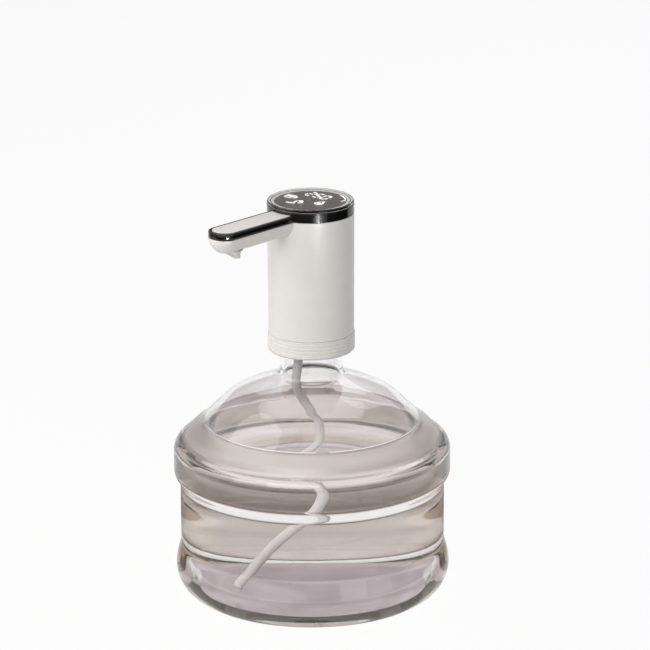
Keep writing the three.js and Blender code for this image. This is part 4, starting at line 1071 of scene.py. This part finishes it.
# Which bars a digit lights: top, upper left, upper right, middle, lower left, lower right, bottom
DIGIT_BARS = {"2": (1, 0, 1, 1, 1, 0, 1), "5": (1, 1, 0, 1, 0, 1, 1), "0": (1, 1, 1, 0, 1, 1, 1)}


def digit(mark, x, y, width, height):
    """One stroke for each bar that the digit lights."""
    gap = STROKE * 0.6
    half = height / 2
    bars = [
        ((gap, height), (width - gap, height)),
        ((0, half + gap), (0, height - gap)),
        ((width, half + gap), (width, height - gap)),
        ((gap, half), (width - gap, half)),
        ((0, gap), (0, half - gap)),
        ((width, gap), (width, half - gap)),
        ((gap, 0), (width - gap, 0)),
    ]
    lit = [bar for bar, on in zip(bars, DIGIT_BARS[mark]) if on]
    return [stroke([(x + a, y + b) for a, b in bar]) for bar in lit]


def make_marks():
    """Generic marks: a cup, three digits, a drop and a power sign, and a glowing arc that is a painted
    highlight along the panel's rim.
    """
    parts = []
    parts.append(stroke([(-28.0, 2.6), (-26.6, -5.2), (-20.2, -5.2), (-18.8, 2.6)], closed=True))
    parts.append(stroke([(-26.2, -0.6), (-20.6, -0.6)], width=2.6))
    parts.append(stroke(arc((-18.6, -1.2), (2.8, 2.6), -70, 80, 10)))
    for mark, x in (("2", -17.6), ("5", -8.9), ("0", -0.2)):
        parts += digit(mark, x, 10.8, 6.0, 11.0)
    parts.append(stroke([(-13.2, -17.0), (-4.6, -15.0)], width=1.9))
    parts.append(stroke(arc((-5.0, -9.6), (3.4, 3.4), -60, 240, 22)))
    parts.append(stroke([(-5.0, -8.6), (-5.0, -4.6)]))
    drop = [(11.0, 6.0), *arc((11.0, -1.2), (3.4, 3.4), 35, -215, 18)]
    parts.append(stroke(drop, closed=True))
    parts.append(stroke(arc((11.0, -1.2), (1.0, 1.0), 0, 340, 12), closed=True))
    # The glowing arc is a painted highlight on the panel's rim, not a printed mark.
    parts.append(stroke([tuple(point) for point in catmull(RIM_HIGHLIGHT_ARC, 6)], width=1.0))
    piece_from("panel_marks", parts, "mark_white", "pump", sharp_deg=30)


# Inner pieces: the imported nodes, with the finish of their material slots

def dress_nodes():
    slots = {entry["node"]: entry["material_slot"] for entry in frame["record"]["subparts"]}
    for node, piece in frame["nodes"].items():
        piece.data.materials.clear()
        piece.data.materials.append(LOOKS[slots[node]])
        smooth(piece.data, SHARP_DEG)


# Floor, world, lamps and cards

FLOOR_SIZE = 12
WHITE = 1.0
FLOOR_WHITE_SHARE = 0.88
FLOOR_GREY = 0.9
FLOOR_ROUGHNESS = 0.9
SKY_COLOR = (0.97, 0.98, 1)
SKY_STRENGTH = 0.3


def seen_white(tree, light, shade, share):
    """Mixes a share of white in wherever the camera, a reflection or a view through glass meets this."""
    path = tree.nodes.new("ShaderNodeLightPath")
    seen = path.outputs["Is Camera Ray"]
    for ray in ("Is Glossy Ray", "Is Transmission Ray"):
        either = tree.nodes.new("ShaderNodeMath")
        either.operation = "MAXIMUM"
        tree.links.new(seen, either.inputs[0])
        tree.links.new(path.outputs[ray], either.inputs[1])
        seen = either.outputs["Value"]
    weight = tree.nodes.new("ShaderNodeMath")
    weight.operation = "MULTIPLY"
    weight.inputs[1].default_value = share
    tree.links.new(seen, weight.inputs[0])
    mix = tree.nodes.new("ShaderNodeMixShader")
    tree.links.new(weight.outputs["Value"], mix.inputs["Fac"])
    tree.links.new(shade, mix.inputs[1])
    tree.links.new(light, mix.inputs[2])
    return mix.outputs["Shader"]


def level_square(middle, half, z):
    x, y = middle
    return [
        (x - half, y - half, z), (x + half, y - half, z),
        (x + half, y + half, z), (x - half, y + half, z),
    ]


def make_floor():
    mesh = bpy.data.meshes.new("floor")
    mesh.from_pydata(level_square((0, 0), FLOOR_SIZE / 2, 0), [], [(0, 1, 2, 3)])
    floor = placed("floor", mesh)
    made, tree, shader = material_nodes("floor")
    shader.inputs["Base Color"].default_value = (FLOOR_GREY, FLOOR_GREY, FLOOR_GREY, 1)
    shader.inputs["Roughness"].default_value = FLOOR_ROUGHNESS
    shader.inputs["Specular IOR Level"].default_value = 0.0
    white = tree.nodes.new("ShaderNodeEmission")
    white.inputs["Color"].default_value = (1, 1, 1, 1)
    white.inputs["Strength"].default_value = WHITE
    seen = seen_white(tree, white.outputs["Emission"], shader.outputs["BSDF"], FLOOR_WHITE_SHARE)
    tree.links.new(seen, tree.nodes["Material Output"].inputs["Surface"])
    mesh.materials.append(made)


def make_world():
    world = bpy.data.worlds.new("world")
    scene.world = world
    world.use_nodes = True
    tree = world.node_tree
    tree.nodes.clear()
    out = tree.nodes.new("ShaderNodeOutputWorld")
    white = tree.nodes.new("ShaderNodeBackground")
    white.inputs["Color"].default_value = (1, 1, 1, 1)
    white.inputs["Strength"].default_value = WHITE
    sky = tree.nodes.new("ShaderNodeBackground")
    sky.inputs["Color"].default_value = (*SKY_COLOR, 1)
    sky.inputs["Strength"].default_value = SKY_STRENGTH
    seen = seen_white(tree, white.outputs["Background"], sky.outputs["Background"], 1.0)
    tree.links.new(seen, out.inputs["Surface"])


LAMP_TARGET = 0.2
SHINE_SPREAD_DEG = 20


def lamp(name, size, power, turn_deg, height, reach, target_z=LAMP_TARGET, color=(1, 1, 1), shine_only=False):
    """A soft lamp that neither the camera nor glass sees, some degrees round from the camera."""
    data = bpy.data.lights.new(name, "AREA")
    data.shape = "RECTANGLE"
    data.size = size[0]
    data.size_y = size[1]
    data.energy = power
    data.color = color
    made = placed(name, data)
    made.location = from_camera(turn_deg, reach, height)
    aim = Vector((0, 0, target_z)) - made.location
    made.rotation_mode = "QUATERNION"
    made.rotation_quaternion = aim.to_track_quat("-Z", "Y")
    made.visible_camera = False
    made.visible_transmission = False
    if shine_only:
        data.spread = math.radians(SHINE_SPREAD_DEG)
        made.visible_diffuse = False


def toned(name, color, other, scale, fade=None, hole=None, stretch=None):
    """An evenly bright, mottled tone. It fades in and out between pairs of distances from the middle."""
    made = bpy.data.materials.new(name)
    made.use_nodes = True
    tree = made.node_tree
    tree.nodes.clear()
    out = tree.nodes.new("ShaderNodeOutputMaterial")
    tone = tree.nodes.new("ShaderNodeEmission")
    mottled = mottle(tree, noise(tree, scale, 3.0, stretch), linear(color), linear(other))
    tree.links.new(mottled, tone.inputs["Color"])
    seen = tone.outputs["Emission"]
    where = tree.nodes.new("ShaderNodeTexCoord")
    away = tree.nodes.new("ShaderNodeVectorMath")
    away.operation = "LENGTH"
    tree.links.new(where.outputs["Object"], away.inputs[0])
    for reach, shown in ((fade, (0.0, 1.0)), (hole, (1.0, 0.0))):
        if not reach:
            continue
        open_share = tree.nodes.new("ShaderNodeMapRange")
        open_share.inputs["From Min"].default_value = reach[0]
        open_share.inputs["From Max"].default_value = reach[1]
        open_share.inputs["To Min"].default_value = shown[0]
        open_share.inputs["To Max"].default_value = shown[1]
        tree.links.new(away.outputs["Value"], open_share.inputs["Value"])
        open_air = tree.nodes.new("ShaderNodeBsdfTransparent")
        mix = tree.nodes.new("ShaderNodeMixShader")
        tree.links.new(open_share.outputs["Result"], mix.inputs["Fac"])
        tree.links.new(seen, mix.inputs[1])
        tree.links.new(open_air.outputs["BSDF"], mix.inputs[2])
        seen = mix.outputs["Shader"]
    tree.links.new(seen, out.inputs["Surface"])
    return made


def card(name, corners, material, through_glass=True, turn=0.0):
    """A card that only reflections see, and glass too if wanted."""
    middle = sum((Vector(corner) for corner in corners), Vector()) / 4
    mesh = bpy.data.meshes.new(name)
    mesh.from_pydata([Vector(corner) - middle for corner in corners], [], [(0, 1, 2, 3)])
    made = placed(name, mesh)
    made.location = middle
    made.rotation_euler.z = turn
    mesh.materials.append(material)
    made.visible_camera = False
    made.visible_diffuse = False
    made.visible_shadow = False
    made.visible_transmission = through_glass


def upright(turn_deg, reach, low, high, width):
    """The corners of an upright card that faces the jug, some degrees round from the camera."""
    turn = math.radians(CAMERA_AZIMUTH_DEG + turn_deg)
    middle = Vector((math.sin(turn), -math.cos(turn), 0)) * reach
    side = Vector((math.cos(turn), math.sin(turn), 0)) * (width / 2)
    ends = ((-1, low), (1, low), (1, high), (-1, high))
    return [middle + side * across + Vector((0, 0, z)) for across, z in ends]


# The object

make_jug()
make_water()
make_hose()
make_collar()
make_base()
make_housing()
make_flap()
make_pin()
make_barb()
make_spout()
make_nozzle()
make_plate()
make_bezel()
make_cap()
make_marks()
dress_nodes()


# The stage: the cards give the clear jug the tones of a room

make_floor()
make_world()
lamp("key", (2.2, 2.2), 28, turn_deg=-83, height=1.8, reach=1.9, color=(1, 0.985, 0.96))
lamp("front", (1.8, 1.8), 33, turn_deg=-18, height=1.9, reach=2.0, color=(1, 0.99, 0.97))
lamp("back", (1.8, 1.8), 15, turn_deg=161.5, height=1.7, reach=2.2, color=(1, 0.99, 0.98))
lamp("strip", (0.24, 0.04), 0.38, turn_deg=20, height=0.12, reach=0.62, target_z=0.46, shine_only=True)

NEAR_BLACK = ((24, 22, 21), (30, 28, 27))
DARK = ((26, 24, 23), (34, 31, 29))
MIDDLE = (0, 0)
STREAKS = (0.5, 3.0, 1.0)
SIDE_CARD = (0.9, 0.0, 0.7, 0.8)
GOLD_REACH = 0.3

card("dark_top", upright(180, 2.0, 0.7, 1.15, 0.7), toned("dark_top", *NEAR_BLACK, 3), through_glass=False)
card("dark_front", upright(-28, 0.64, 0.0, 0.2, 1.5), toned("dark_front", *DARK, 3), through_glass=False)
card("dark_side", upright(77, 0.64, 0.0, 0.2, 0.9), toned("dark_side", *DARK, 3), through_glass=False)

camera_turn = math.radians(CAMERA_AZIMUTH_DEG)
ground = toned("ground_tone", (244, 238, 235), (206, 197, 193), 12, fade=(0.3, 0.46), stretch=STREAKS)
card("ground_tone", level_square(MIDDLE, 0.5, 0.0005), ground, turn=camera_turn)
shade = toned(
    "ground_shade", (140, 126, 116), (88, 76, 70), 12,
    fade=(0.28, 0.36), hole=(0.165, 0.225), stretch=STREAKS,
)
card("ground_shade", level_square(MIDDLE, 0.5, 0.0008), shade, turn=camera_turn)

card("back_tone", upright(180, 2.2, 0.5, 2.2, 3.4), toned("back_tone", (222, 213, 218), (184, 174, 180), 2))
under = toned("ground_under", (206, 193, 182), (164, 149, 138), 14, fade=(0.1, 0.13))
card("ground_under", level_square(MIDDLE, 0.15, 0.0014), under)
card("side_right", upright(90, *SIDE_CARD), toned("side_tone", (156, 144, 136), (112, 100, 92), 3))
card("side_left", upright(-90, *SIDE_CARD), toned("side_light", (206, 197, 188), (176, 166, 156), 3))
for name, turn_deg in (("gold_left", -94), ("gold_right", 94)):
    gold = toned(name, (212, 186, 146), (172, 148, 116), 12, fade=(0.05, 0.14))
    place = from_camera(turn_deg, GOLD_REACH)
    card(name, level_square(place[:2], 0.15, 0.0011), gold)
